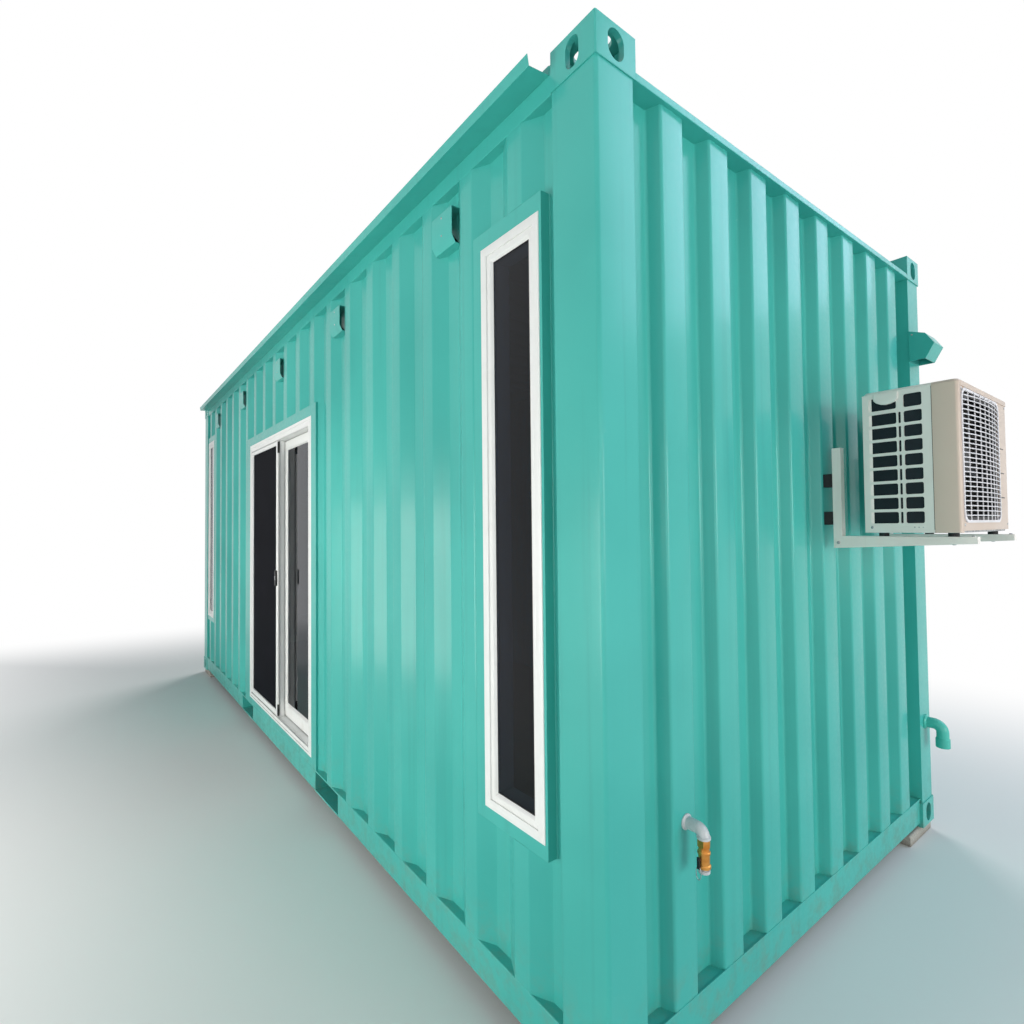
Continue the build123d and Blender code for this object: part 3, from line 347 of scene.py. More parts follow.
def cast_brass():
    """Cast brass, dulled orange in slow patches and brighter where it is handled."""
    s = Shader("cast_brass", Metallic=0.85)
    tarnish = s.noise(26.0, 3.0, 0.5)
    colour = s.mix(tarnish.between(0.35, 0.7), (224, 160, 84), (188, 118, 48))
    grain = s.bump(s.noise(300.0, 2.0), 0.0002, 0.4)
    return s.finished(colour, tarnish.between(0.3, 0.7, 0.28, 0.42), grain)


def galvanised():
    """Zinc-plated screws and wire, with dull cloudy spangles."""
    s = Shader("galvanised", Metallic=0.8)
    cloud = s.noise(120.0, 3.0)
    colour = s.mix(cloud.between(0.3, 0.7), (188, 192, 194), (140, 144, 148))
    return s.finished(colour, cloud.between(0.3, 0.7, 0.3, 0.5))


def bitumen():
    """Matt black underseal with a coarse brushed surface."""
    s = Shader("bitumen")
    brush = s.noise(26.0, 5.0, 0.7)
    colour = s.mix(brush.between(0.4, 0.7), (28, 30, 30), (52, 54, 52))
    return s.finished(colour, brush * 0.3 + 0.6, s.bump(brush, 0.002, 0.6))


materials = {
    "teal_paint": teal_enamel("teal_enamel", (72, 181, 171), (62, 169, 160)),
    "underside_coating": bitumen(),
    "plywood": floor_plywood(),
    "concrete": cast_concrete(),
    "white_vinyl": white_vinyl(),
    "glass": tint_and_shade_glass(),
    "screen_mesh": insect_mesh(),
    "black_plastic": moulded("black_plastic", (18, 19, 21), (38, 39, 42)),
    "nylon": moulded("nylon", (216, 212, 200), (186, 180, 166), 0.4),
    "ac_enamel": baked_enamel("ac_enamel", (228, 226, 219), (220, 218, 210), (200, 182, 167),
                              corners("ac_casing")[1][0] - casing_seam_setback),
    "guard_enamel": baked_enamel("guard_enamel", (222, 220, 224), (206, 205, 206)),
    "white_steel": baked_enamel("white_steel", (240, 235, 228), (228, 222, 213)),
    "coil_fins": coil_fins(),
    "rubber": moulded("rubber", (20, 20, 22), (44, 44, 46), 0.7, 240.0),
    "painted_pipe": teal_enamel("painted_pipe", (78, 188, 174), (70, 176, 162), 0.3),
    "grey_plastic": moulded("grey_plastic", (196, 200, 202), (172, 176, 178), 0.3),
    "brass": cast_brass(),
    "zinc": galvanised(),
}
body_of, slot_of = {}, {}
for part in frame["record"]["subparts"]:
    slot_of[part["node"]] = part["material_slot"]
    body_of[part["node"]] = node_objects[part["node"]]["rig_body"]


def new_object(name, data):
    """A new object at the origin, in the scene."""
    made = bpy.data.objects.new(name, data)
    bpy.context.scene.collection.objects.link(made)
    return made


def finish_cad_nodes():
    """Give every CAD node the material of its slot in the record."""
    for node, slot in slot_of.items():
        node_objects[node].data.materials.clear()
        node_objects[node].data.materials.append(materials[slot])


def piece(name, shapes, slot, body="cabin", replaces=(), smooth_angle=35.0, turn_outward=True):
    """Join closed shapes into one outward mesh with its finish, its body and the nodes it replaces."""
    points = np.vstack([shape[0] for shape in shapes])
    starts = np.cumsum([0] + [len(shape[0]) for shape in shapes[:-1]])
    faces = [[start + int(index) for index in face]
             for start, shape in zip(starts, shapes) for face in shape[1]]
    mesh = bpy.data.meshes.new(name)
    mesh.from_pydata(points.tolist(), [], faces)
    welded = bmesh.new()
    welded.from_mesh(mesh)
    bmesh.ops.remove_doubles(welded, verts=welded.verts, dist=merge_distance)
    if turn_outward:
        bmesh.ops.recalc_face_normals(welded, faces=welded.faces)
    else:
        bmesh.ops.dissolve_limit(welded, angle_limit=flat_angle, verts=welded.verts, edges=welded.edges)
    welded.to_mesh(mesh)
    welded.free()
    mesh.polygons.foreach_set("use_smooth", np.ones(len(mesh.polygons), dtype=bool))
    mesh.set_sharp_from_angle(angle=math.radians(smooth_angle))
    mesh.materials.append(materials[slot])
    made = new_object(name, mesh)
    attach(made, body)
    if replaces:
        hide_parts(*replaces)
    return made


def softened(node, width, pressed=None):
    """A copy of a CAD node, merged, with its flat faces joined and its sharp edges rounded."""
    cad = node_objects[node].data
    points, triangles = np.empty(len(cad.vertices) * 3), np.empty(len(cad.loops), dtype=int)
    cad.vertices.foreach_get("co", points)
    cad.loops.foreach_get("vertex_index", triangles)
    points = points.reshape(-1, 3)
    shape = pressed(points) if pressed else points, triangles.reshape(-1, 3)
    made = piece(node + "_finish", [shape], slot_of[node], body_of[node], [node], turn_outward=False)
    rounding = made.modifiers.new("rounded_edges", "BEVEL")
    rounding.width, rounding.segments = width, 2
    rounding.limit_method, rounding.angle_limit = "ANGLE", bevel_angle
    rounding.harden_normals = True
    return made


def grip_pressed_in(points):
    """The casing's points with the CAD's plain grip, y < side below the lid, pushed back to y = side."""
    side = points[:, 1].min() + casing_grip
    below_lid = points[:, 2] < points[:, 2].max() - casing_lid_height - 0.001
    depth = np.where(below_lid, np.maximum(points[:, 1], side), points[:, 1])
    return np.column_stack([points[:, 0], depth, points[:, 2]])


def unit(directions):
    """Directions brought to a length of one."""
    return directions / np.linalg.norm(directions, axis=-1, keepdims=True)


def quads_between(near, far):
    """Faces between rings of point numbers and the rings that come after them."""
    return np.stack([near, np.roll(near, -1, 1), np.roll(far, -1, 1), far], axis=-1).reshape(-1, 4)


def lofted(rings, joined=False):
    """Skin over closed rings with as many points each, capped at both ends or joined last to first."""
    points = np.asarray(rings)
    number = np.arange(points[..., 0].size).reshape(points.shape[:2])
    if joined:
        return points.reshape(-1, 3), quads_between(number, np.roll(number, -1, 0))
    faces = quads_between(number[:-1], number[1:]).tolist() + number[[0, -1]].tolist()
    return points.reshape(-1, 3), faces


def bent_line(points, radius, steps=arc_steps):
    """A folded line with an arc at each inner corner.

    The arc starts radius * tan(turn / 2) before the corner, and its points
    turn evenly about a centre one radius to the inner side.
    """
    points = np.asarray(points, float)
    along = unit(np.diff(points, axis=0))
    before, after = along[:-1], along[1:]
    turn = np.arctan2(before[:, 0] * after[:, 1] - before[:, 1] * after[:, 0],
                      (before * after).sum(1))
    start = points[1:-1] - before * radius * np.tan(np.abs(turn) / 2)[:, None]
    inward = np.stack([-before[:, 1], before[:, 0]], axis=1) * np.sign(turn)[:, None]
    angle = np.linspace(0, 1, steps + 1)[None, :, None] * np.abs(turn)[:, None, None]
    ahead, aside = before[:, None] * np.sin(angle), inward[:, None] * (1 - np.cos(angle))
    arc = start[:, None] + radius * (ahead + aside)
    return np.vstack([points[:1], arc.reshape(-1, 2), points[-1:]])


def rounded(points, radius, steps=3):
    """A closed outline with an arc at each corner."""
    points = np.asarray(points, float)
    return bent_line(np.vstack([points[-1:], points, points[:1]]), radius, steps)[1:-1]


def rectangle(low, high):
    """Four corners in turn, from the lowest."""
    return [(low[0], low[1]), (high[0], low[1]), (high[0], high[1]), (low[0], high[1])]


def prism(outline, axis, low, high):
    """A closed outline, in the other two coordinates in order, carried straight along an axis."""
    return lofted([np.insert(outline, axis, place, axis=1) for place in (low, high)])


def block(low, high, edge, axis=2):
    """A box as rounded outlines across an axis, drawn in by the edge at both ends."""
    others = [index for index in range(3) if index != axis]
    low, high = np.array(low, float), np.array(high, float)
    centre, half = (low + high)[others] / 2, (high - low)[others] / 2
    outline = rounded(rectangle(-half, half), edge)
    places = [(low[axis], 1.0), (low[axis] + edge, 0.0), (high[axis] - edge, 0.0), (high[axis], 1.0)]
    return lofted([np.insert(outline * (1 - inset * edge / half) + centre, axis, place, axis=1)
                   for place, inset in places])


def ring_plate(outer, inner, axis, low, high):
    """A flat plate between two closed outlines with as many points each, from low to high on an axis."""
    loops = ((outer, low), (outer, high), (inner, high), (inner, low))
    return lofted([np.insert(outline, axis, place, axis=1) for outline, place in loops], joined=True)


def turned(profile, centre, axis, sides=24):
    """A profile of (distance along, radius) pairs spun round an axis through the centre."""
    profile = np.asarray(profile, float)
    turn = np.arange(sides) * 2 * math.pi / sides
    others = [index for index in range(3) if index != axis]
    rings = np.empty((len(profile), sides, 3))
    rings[..., others] = profile[:, None, 1:] * np.stack([np.cos(turn), np.sin(turn)], axis=1)
    rings[..., axis] = profile[:, :1]
    return lofted(rings + np.array(centre, float))


def tube(path, radius, across, sides):
    """A ring round each point of a flat path; across is the unit direction square to its plane."""
    path, across = np.asarray(path, float), np.array(across, float)
    along = unit(np.gradient(path, axis=0))
    outward = np.cross(along, across)[:, None]
    turn = (np.arange(sides) * 2 * math.pi / sides)[:, None]
    size = np.broadcast_to(radius, len(path))[:, None, None]
    return lofted(path[:, None] + size * (np.cos(turn) * outward + np.sin(turn) * across))


def elbow(root, radius, reach, bend, drop):
    """Pipe that leaves a wall along +X, turns through a quarter circle and drops."""
    wall, across, level = root
    fold = [(wall, level), (wall + reach, level), (wall + reach, level - drop)]
    path = np.insert(bent_line(fold, bend, elbow_steps), 1, across, axis=1)
    return tube(path, radius, (0, 1, 0), elbow_sides)


def screw(place, axis, sign, radius, height, sides=14):
    """A low domed head that stands on a face square to an axis."""
    profile = np.array([[-0.3, 1], [0.35, 1], [0.8, 0.78], [1, 0.4]]) * (sign * height, radius)
    return turned(profile, place, axis, sides)


def weld(start, end):
    """A bead of filler between two points, its radius rippling as two sines of the count along it."""
    start, end = np.array(start, float), np.array(end, float)
    length = np.linalg.norm(end - start)
    count = np.arange(max(4, int(length / weld_step)))
    path = start + (count / count[-1])[:, None] * (end - start)
    radius = weld_radius * (1 + 0.3 * np.sin(count * 2.1) * np.sin(count * 0.73))
    along = (end - start) / length
    return tube(path, radius, np.roll(along, 1), wire_sides)


def mitred(profile, low, high, jamb, head=None, sill=None):
    """Four bars round a rectangle in the plane of the front wall, cut at 45 degrees with a hair joint.

    A profile point (share, depth) lies that share of the bar's own width in
    from the outer edge, at Y = depth. Without a width of their own, head and
    sill are as wide as the jambs.
    """
    share, depth = np.asarray(profile, float).T
    head, sill = head or jamb, sill or jamb
    left, right = low[0] + share * jamb, high[0] - share * jamb
    bottom, top = low[1] + share * sill, high[1] - share * head
    rings = np.array([[left, depth, bottom], [right, depth, bottom],
                      [right, depth, top], [left, depth, top]]).transpose(0, 2, 1)
    gap = mitre_gap / 2 * np.array([[1, 0, 0], [0, 0, 1], [-1, 0, 0], [0, 0, -1]])
    return [lofted([rings[i] + gap[i], rings[(i + 1) % 4] - gap[i]]) for i in range(4)]


def bar_profile(width, front, back, edge=vinyl_edge):
    """A rounded rectangle as (share of the width, depth) pairs."""
    return rounded(rectangle((0, front), (width, back)), edge) / (width, 1)


def ribbed_line(length, depth, count, pitch, crest, slope, radius):
    """Plan of a ribbed sheet from 0 to length: 0 on the crests, depth in the valleys, bends rounded."""
    centre = length / 2 + (np.arange(count) - (count - 1) / 2) * pitch
    steps = np.array([-crest / 2 - slope, -crest / 2, crest / 2, crest / 2 + slope])
    along = (centre[:, None] + steps).ravel()
    deep = np.tile([depth, 0, 0, depth], count)
    return bent_line(np.column_stack([np.r_[0, along, length], np.r_[depth, deep, depth]]), radius)


def sheet_along(line, first, last):
    """The stretch of a plan line between two places along it."""
    inside = (line[:, 0] > first + sheet) & (line[:, 0] < last - sheet)
    ends = [[place, np.interp(place, line[:, 0], line[:, 1])] for place in (first, last)]
    return np.vstack([ends[:1], line[inside], ends[1:]])


def standing_sheet(line, low, high):
    """A thin closed solid: a plan line and its offset by one sheet, carried from low to high."""
    along = unit(np.gradient(line, axis=0))
    inner = line + sheet * np.stack([-along[:, 1], along[:, 0]], axis=1)
    loop = np.vstack([line, inner[::-1]])
    points, faces = prism(loop, 2, low, high)
    near = np.arange(len(line) - 1)
    far = len(loop) - 1 - near
    bottom = np.column_stack([near, far, far - 1, near + 1])
    return points, faces[:-2] + bottom.tolist() + (bottom + len(loop)).tolist()


def wall_sheet(node, line, spans, place):
    """Ribbed sheets over several spans (first, last, low, high), put in place as one wall."""
    shapes = [standing_sheet(sheet_along(line, *span[:2]), *span[2:]) for span in spans]
    stood = [(place(points), faces) for points, faces in shapes]
    piece(node + "_sheet", stood, "teal_paint", replaces=[node])


def build_long_walls():
    """Ribbed long walls with rounded bends; the front one is open at the windows and the door."""
    low, high = corners("back_wall")
    length, floor, top = high[0] - low[0], low[2], high[2]
    depth = high[1] - low[1] - sheet
    line = ribbed_line(length, depth, *long_wall_ribs)
    window_low, window_high = corners("window_surrounds")
    surround_low, surround_high = corners("door_surround")

    def at_front(points):
        return points + np.array([low[0], surround_low[1], 0])

    def at_back(points):
        return points * np.array([1, -1, 1]) + np.array([low[0], high[1], 0])

    wall_sheet("back_wall", line, [(0, length, floor, top)], at_back)
    door_left, door_right = surround_low[0] - low[0], surround_high[0] - low[0]
    outer = window_low[0] - low[0]
    inner = outer + window_hole_width
    below, above = (floor, window_low[2]), (window_high[2], top)
    left = [(0, outer, floor, top), (outer, inner, *below), (outer, inner, *above),
            (inner, door_left, floor, top)]
    wall_sheet("front_wall_left", line, left, at_front)
    right = [(length - last, length - first, *levels) for first, last, *levels in left[:3]]
    right.append((door_right, length - inner, floor, top))
    wall_sheet("front_wall_right", line, right, at_front)
    over = [(door_left, door_right, surround_high[2], top)]
    wall_sheet("front_wall_over_door", line, over, at_front)


def build_end_walls():
    """Ribbed end walls with rounded bends."""
    low, high = corners("right_end_wall")
    width, depth = high[1] - low[1], high[0] - low[0] - sheet
    line = ribbed_line(width, depth, *end_wall_ribs)
    span = [(0, width, low[2], high[2])]

    def at_right(points):
        return np.column_stack([high[0] - points[:, 1], low[1] + points[:, 0], points[:, 2]])

    def at_left(points):
        return at_right(points) * np.array([-1, 1, 1])

    wall_sheet("right_end_wall", line, span, at_right)
    wall_sheet("left_end_wall", line, span, at_left)


def channel(near, bottom, top, outward):
    """Section of a rail: a channel with its web on the outward side and its outer bends rounded."""
    far = near + rail_flange
    web, toe = (near, far) if outward < 0 else (far, near)
    inner = web - outward * rail_sheet
    outer = bent_line([(toe, bottom), (web, bottom), (web, top), (toe, top)], rail_bend)
    roof, floor = top - rail_sheet, bottom + rail_sheet
    return np.vstack([outer, [(toe, roof), (inner, roof), (inner, floor), (toe, floor)]])


def build_bottom_rails():
    """Channels between the bottom fittings; the long ones are cut away at the fork pockets."""
    low, high = corners("bottom_side_rails")
    pocket_edges = [sign * pocket_centre + side * pocket_width / 2
                    for sign in (-1, 1) for side in (-1, 1)]
    places = [low[0], *pocket_edges, high[0]]
    shapes = []
    for sign, front in ((-1, low[1]), (1, high[1] - rail_flange)):
        section = channel(front, low[2], high[2], sign)
        shapes += [prism(section, 0, *places[index:index + 2]) for index in (0, 2, 4)]
        for level in (low[2], high[2] - rail_sheet):
            strip = rectangle((front, level), (front + rail_flange, level + rail_sheet))
            shapes += [prism(strip, 0, *places[index:index + 2]) for index in (1, 3)]
    piece("bottom_side_rail_channels", shapes, "teal_paint", replaces=["bottom_side_rails"])
    low, high = corners("bottom_end_rails")
    shapes = []
    for sign, start in ((-1, low[0]), (1, high[0] - rail_flange)):
        shapes.append(prism(channel(start, low[2], high[2], sign), 1, low[1], high[1]))
    piece("bottom_end_rail_channels", shapes, "teal_paint", replaces=["bottom_end_rails"])


def build_windows():
    """Outer frames, sashes with sloped glazing beads, and black gaskets at the glass."""
    low, high = corners("window_frames")
    front, back = low[1], high[1]
    sash_front, glass_front = front + window_sash_step, front + window_glass_setback
    sash = rounded([(0, sash_front), (0.019, sash_front), (window_sash_face, glass_front - 0.001),
                    (window_sash_face, back), (0, back)], 0.0012) / (window_sash_face, 1)
    gasket = bar_profile(gasket_width, glass_front - 0.002, glass_front, 0.0006)
    frames, sashes, gaskets = [], [], []
    for left in (low[0], high[0] - window_width):
        outer_low, outer_high = np.array([left, low[2]]), np.array([left + window_width, high[2]])
        frames += mitred(bar_profile(window_frame_face, front, back), outer_low, outer_high,
                         window_frame_face)
        sash_low, sash_high = outer_low + window_frame_face, outer_high - window_frame_face
        sashes += mitred(sash, sash_low, sash_high, window_sash_face)
        gaskets += mitred(gasket, sash_low + window_sash_face, sash_high - window_sash_face,
                          gasket_width)
    piece("window_outer_frames", frames, "white_vinyl", replaces=["window_frames"])
    piece("window_sashes", sashes, "white_vinyl")
    piece("window_gaskets", gaskets, "rubber")


def build_door_frame():
    """White door frame with a stepped face and a groove along each moving track."""
    low, high = corners("door_frame")
    front, back = low[1], high[1]
    profile = [(0, front), (0.34, front), (0.34, front + 0.004), (0.46, front + 0.004),
               (0.46, front), (1, front)]
    for node in ("screen_panel", "sliding_door_panel"):
        track_low, track_high = corners(node)
        start, end = track_low[1] + 0.002, track_high[1] - 0.002
        profile += [(1, start), (0.86, start), (0.86, end), (1, end)]
    profile += [(1, back), (0, back)]
    shapes = mitred(profile, low[[0, 2]], high[[0, 2]], door_jamb, door_jamb, door_sill)
    piece("door_frame_profiles", shapes, "white_vinyl", replaces=["door_frame"])


def build_leaf(kind, body):
    """Stiles and rails of a glazed door leaf, with beads sloping to both faces of the glass."""
    node = kind + "_door_panel"
    low, high = corners(node)
    left, right = low[0] + leaf_stile, high[0] - leaf_stile
    bottom, top = low[2] + leaf_foot, high[2] - leaf_head
    front, back = low[1] + 0.0006, high[1] - 0.0006
    shapes = [block(low, (left, high[1], high[2]), leaf_edge),
              block((right, low[1], low[2]), high, leaf_edge),
              block((left, front, low[2]), (right, back, bottom), leaf_edge, 0),
              block((left, front, top), (right, back, high[2]), leaf_edge, 0)]
    glass_low, glass_high = corners(kind + "_door_glass")
    for face, pane in ((low[1] + bead_setback, glass_low[1]), (high[1] - bead_setback, glass_high[1])):
        bead = [(0, face), (0.35, face), (1, pane), (0, pane)]
        shapes += mitred(bead, (left, bottom), (right, top), glazing_bead)
    piece(kind + "_leaf", shapes, "white_vinyl", body, replaces=[node])


def build_screen():
    """Mitred roll-formed frame of the insect screen, with the groove that grips the mesh."""
    low, high = corners("screen_panel")
    front, back = low[1], high[1]
    profile = [(0, front + 0.002), (0.05, front), (0.84, front), (0.84, front + 0.002),
               (0.93, front + 0.002), (0.93, front), (1, front), (1, back), (0, back)]
    shapes = mitred(profile, low[[0, 2]], high[[0, 2]], screen_stile, screen_head, screen_foot)
    piece("screen_frame_bars", shapes, "white_vinyl", "screen", replaces=["screen_panel"])


def build_welds():
    """Beads where the walls meet the rails and posts."""
    low, high = corners("back_wall")
    end_low, end_high = corners("right_end_wall")
    opening_low, opening_high = corners("window_surrounds")
    seams = [((x, end_low[1], end_low[2]), (x, end_high[1], end_low[2]))
             for x in (-end_high[0], end_high[0])]
    uprights = [((-end_low[0], end_low[0]), (end_low[1], end_high[1]), end_low[2], end_high[2]),
                ((low[0], high[0]), (-low[1], low[1]), low[2], high[2]),
                ((opening_low[0], opening_high[0]), [opening_low[1] + surround_depth],
                 opening_low[2], opening_high[2])]
    seams += [((x, y, bottom), (x, y, top))
              for across, depths, bottom, top in uprights for y in depths for x in across]
    piece("weld_beads", [weld(start, end) for start, end in seams], "teal_paint")


def build_softened_parts():
    """Steel, plastic and concrete parts with their sharp edges rounded by the widths given."""
    widths = {"corner_posts": 0.001, "top_corner_fittings": 0.003, "bottom_corner_fittings": 0.003,
              "top_end_rails": 0.003, "top_side_rails": 0.002, "door_surround": 0.0012,
              "window_surrounds": 0.0012, "roof_gutter": 0.0006, "wall_vents": 0.0012,
              "cable_hood": 0.0012, "ac_brackets": 0.0015, "ac_fan": 0.001, "rubber_mounts": 0.001,
              "footing_pads": 0.004, "sliding_door_handle": 0.002, "roof_panel": 0.0008}
    for node, width in widths.items():
        softened(node, width)
    softened("ac_casing", 0.0012, grip_pressed_in)


def build_fan_guard():
    """Wires of the fan guard and the dark mouth behind them.

    Across the guard, with u from -1 to 1, the wires stand out by bulge * (1 - u * u).
    """
    low, high = corners("ac_fan_grille")
    face, middle = low[0], (low + high) / 2
    half = (high - low)[1:] / 2 - guard_margin
    u = np.linspace(-1, 1, wire_points)
    stand_out = guard_bulge * (1 - u ** 2) + guard_wire
    shapes = []
    for level in np.linspace(-1, 1, guard_rows + 2)[1:-1] * half[1]:
        reach = half[0] if abs(level) < half[1] - guard_end_rows else half[0] - guard_end_inset
        height = np.full(wire_points, middle[2] + level)
        path = np.column_stack([face + stand_out, middle[1] + u * reach, height])
        shapes.append(tube(path, guard_wire, (0, 0, 1), wire_sides))
    for u in np.linspace(-1, 1, guard_uprights + 2)[1:-1]:
        place = (face + guard_bulge * (1 - u ** 2) - guard_wire, middle[1] + u * half[0])
        ends = [(*place, middle[2] - half[1]), (*place, middle[2] + half[1])]
        shapes.append(tube(ends, guard_wire, (0, 1, 0), wire_sides))
    outline = rounded(rectangle(-half, half), guard_corner, 6)
    rim = outline * (1 + guard_margin / half)
    shapes.append(ring_plate(rim + middle[1:], outline + middle[1:], 0, face, face + 0.004))
    guard = piece("fan_guard_wires", shapes, "guard_enamel", replaces=["ac_fan_grille"])
    mouth = rounded(rectangle(-half * shroud_mouth, half * shroud_mouth), shroud_corner, 6)
    back = face - shroud_sheet - shroud_gap
    plate = ring_plate(rim * shroud_lap + middle[1:], mouth + middle[1:], 0, back - shroud_sheet, back)
    bell = ring_plate(mouth * (1 + shroud_sheet / half) + middle[1:], mouth + middle[1:], 0,
                      back - shroud_depth, back - shroud_sheet)
    piece("fan_shroud", [plate, bell], "black_plastic")


def build_louvre_panel():
    """Side panel of the casing: rounded openings before the coil, a grip and the front's edge."""
    low, high = corners("ac_casing")
    seam, side = high[0] - casing_seam_setback, low[1] + casing_grip
    front, back = side - panel_proud, side - 0.001
    later_tops = second_louvre_top + louvre_pitch * np.arange(louvre_rows - 1)
    tops = high[2] - np.r_[first_louvre_top, later_tops]
    bottoms = tops - np.r_[first_louvre_height, np.full(louvre_rows - 1, louvre_height)]
    levels = [high[2] - 0.010, *((tops[1:] + bottoms[:-1]) / 2), low[2] - 0.006]
    openings = low[0] + np.array(louvre_columns)
    across = [low[0] + 0.0035, *((openings[1:, 0] + openings[:-1, 1]) / 2), seam - half_seam]
    shapes = []
    for row, (top, bottom) in enumerate(zip(tops, bottoms)):
        for column, (left, right) in enumerate(openings):
            cell = rectangle((across[column], levels[row + 1]), (across[column + 1], levels[row]))
            if row == 0 and column == 1:
                shapes.append(prism(cell, 1, front, back))
                continue
            corner = min(louvre_corner, (right - left) / 2.2)
            hole = rounded(rectangle((left, bottom), (right, top)), corner)
            shapes.append(ring_plate(rounded(cell, 0.0001), hole, 1, front, back))
        slope = [(openings[0, 0], front + 0.001), (openings[0, 0] + 0.009, back), (openings[0, 0], back)]
        shapes.append(prism(slope, 2, bottom, top))
    edge = high[0] - 0.002
    fold = bent_line([(seam + half_seam, front), (edge, front), (edge, front + 0.02)], 0.012)
    shapes.append(standing_sheet(fold, levels[-1], levels[0]))
    piece("casing_louvre_panel", shapes, "ac_enamel", smooth_angle=30.0)
    lip = np.array(grip_outline) + (low[0], high[2])
    outline, middle = rounded(lip, grip_corner), (lip.min(0) + lip.max(0)) / 2
    steps = ((back, 1.0), (front - 0.0035, 1.0), (front - 0.0048, 0.96), (front - 0.005, 0.9))
    rings = [np.insert((outline - middle) * share + middle, 1, depth, axis=1) for depth, share in steps]
    piece("casing_grip", [lofted(rings)], "ac_enamel")
    # The coil behind the openings takes the coil_fins colours: painted shade inside the casing.
    coil = block((openings[0, 0] - 0.006, back - 0.0002, bottoms[-1] - 0.006),
                 (openings[-1, 1] + 0.006, side - 0.0002, tops[0] + 0.006), 0.0002)
    piece("casing_side_coil", [coil], "coil_fins")


def build_casing_details():
    """Seam of the front panel, base pan, screws, and black blocks as painted shade in the slots beside
    the guard.
    """
    low, high = corners("ac_casing")
    near = low[1] + casing_grip - panel_proud
    far, front = high[1] - casing_lid, high[0] - casing_lid
    seam = high[0] - casing_seam_setback
    top = high[2] - 0.012
    seams = [block((seam - half_seam, side - 0.0004, low[2] + 0.004),
                   (seam + half_seam, side + 0.0004, top), 0.0002) for side in (near, far)]
    # Black blocks stand in for the shade inside the slots beside the guard: painted shade.
    slot = corners("ac_fan_grille")[1][1] + 0.022
    slot_shade_blocks = [block((front - 0.002, slot, level), (front + 0.0006, slot + 0.05, level + 0.005), 0.001, 0)
             for level in low[2] + np.array([0.12, 0.215, 0.31])]
    piece("casing_seams_and_slot_shade", seams + slot_shade_blocks, "black_plastic")
    pan = block((low[0] + 0.012, near + 0.01, low[2] - 0.007),
                (front - 0.012, far - 0.008, low[2] + 0.001), 0.002)
    piece("casing_base_pan", [pan], "zinc")
    foot = low[2] + 0.013
    screws = [screw((low[0] + 0.027, near, foot), 1, -1, *casing_screw)]
    screws += [screw((seam - 0.033 - 0.0125 * index, near, foot), 1, -1, *casing_plug)
               for index in range(3)]
    screws += [screw((front, side, level), 0, 1, *casing_screw)
               for side in (near + 0.03, far - 0.03) for level in (low[2] + 0.02, top - 0.02)]
    piece("casing_screws", screws, "zinc")


def build_bracket_bolts():
    """Bolts through the roots and legs of the wall brackets and under the rubber feet."""
    low, high = corners("ac_brackets")
    foot = corners("rubber_mounts")[1][0] - 0.016
    bolts = []
    for near in (low[1], high[1] - bracket_bar):
        across = near + bracket_bar / 2
        bolts.append(screw((low[0] + 0.018, near, low[2] + 0.022), 1, -1, *root_bolt, 6))
        for rise in wall_bolt_rises:
            bolts.append(screw((low[0] + 0.004, across, low[2] + rise), 0, 1, *wall_bolt, 6))
        for along in (foot, low[0] + 0.17):
            bolts.append(screw((along, across, low[2] + 0.024), 2, -1, *foot_bolt, 6))
        bolts.append(screw((high[0] - 0.014, across, low[2] + 0.048), 2, 1, *stop_bolt, 6))
    piece("bracket_bolts", bolts, "zinc")


def wall_elbow(node, slot, pipe, flange, fitting, sides, stop=0.0):
    """A flange, an elbow that stops short of its end, and a fitting spun there; returns the end."""
    low, high = corners(node)
    radius, reach, bend, drop = pipe
    rim, depth, chamfer = flange
    root = np.array([low[0], (low[1] + high[1]) / 2, high[2] - rim])
    end = root + (reach, 0, -drop)
    collar = [(0, rim), (depth - chamfer, rim), (depth, rim - 0.002), (depth + 0.004, radius)]
    shapes = [elbow(root, radius, reach, bend, drop - stop), turned(collar, root, 0, sides),
              turned(fitting, end, 2, sides)]
    piece(node + "_pipe", shapes, slot, replaces=[node])
    return end


def build_brass_connector(end):
    """Brass body, six-sided nut and washer under the pipe's end; returns the lever's place."""
    foot = np.array([end[0], end[1], corners("brass_connector")[0][2] + brass_rise])
    height = end[2] + 0.003 - foot[2]
    body = [(0.014, 0.012), (0.014, 0.0175), (0.0155, 0.019), (0.022, 0.019), (0.0235, 0.0178),
            (0.025, 0.016), (0.052, 0.016), (0.054, 0.0182), (0.059, 0.0182), (0.061, 0.016),
            (0.066, 0.0152), (0.074, 0.0152)]
    nut = [(0.0732, 0.0178), (0.075, 0.0195), (height - 0.0018, 0.0195), (height, 0.0178)]
    brass = [turned(body, foot, 2, 36), turned(nut, foot, 2, 6)]
    piece("brass_body", brass, "brass", replaces=["brass_connector"], smooth_angle=28.0)
    washer = [(0, 0.0105), (0, 0.0155), (0.001, 0.0165), (0.008, 0.0165), (0.009, 0.0155),
              (0.009, 0.012), (0.014, 0.012), (0.014, 0.0105)]
    bore = [(-0.0002, 0.0085), (0.0018, 0.0085)]
    rings = [turned(washer, foot, 2, 32), turned(bore, foot, 2)]
    piece("brass_washer", rings, "grey_plastic")
    return foot + (-0.004, -0.0175, 0.038)


def build_lever(pivot):
    """Small black lever on its screw, and a wire ring that hangs from it.

    The ring is an ellipse with a circle of six points round each of its points.
    """
    lever = [block(pivot + (-0.005, -0.006, -0.024), pivot + (0.005, -0.002, 0.010), 0.0015),
             screw(pivot + (0, 0.001, 0.002), 1, -1, 0.0045, 0.008, 6)]
    piece("brass_lever", lever, "black_plastic")
    turn = np.linspace(0, 2 * math.pi, 33)[:-1]
    hoop = np.column_stack([0.008 * np.sin(turn), np.zeros(32), 0.019 * np.cos(turn)])
    around = np.arange(6)[:, None, None] * 2 * math.pi / 6
    wire = hoop + 0.0012 * (np.cos(around) * unit(hoop) + np.sin(around) * np.array([0, 1, 0]))
    piece("brass_ring_wire", [lofted(wire + pivot + (0, -0.004, -0.034), joined=True)], "zinc")


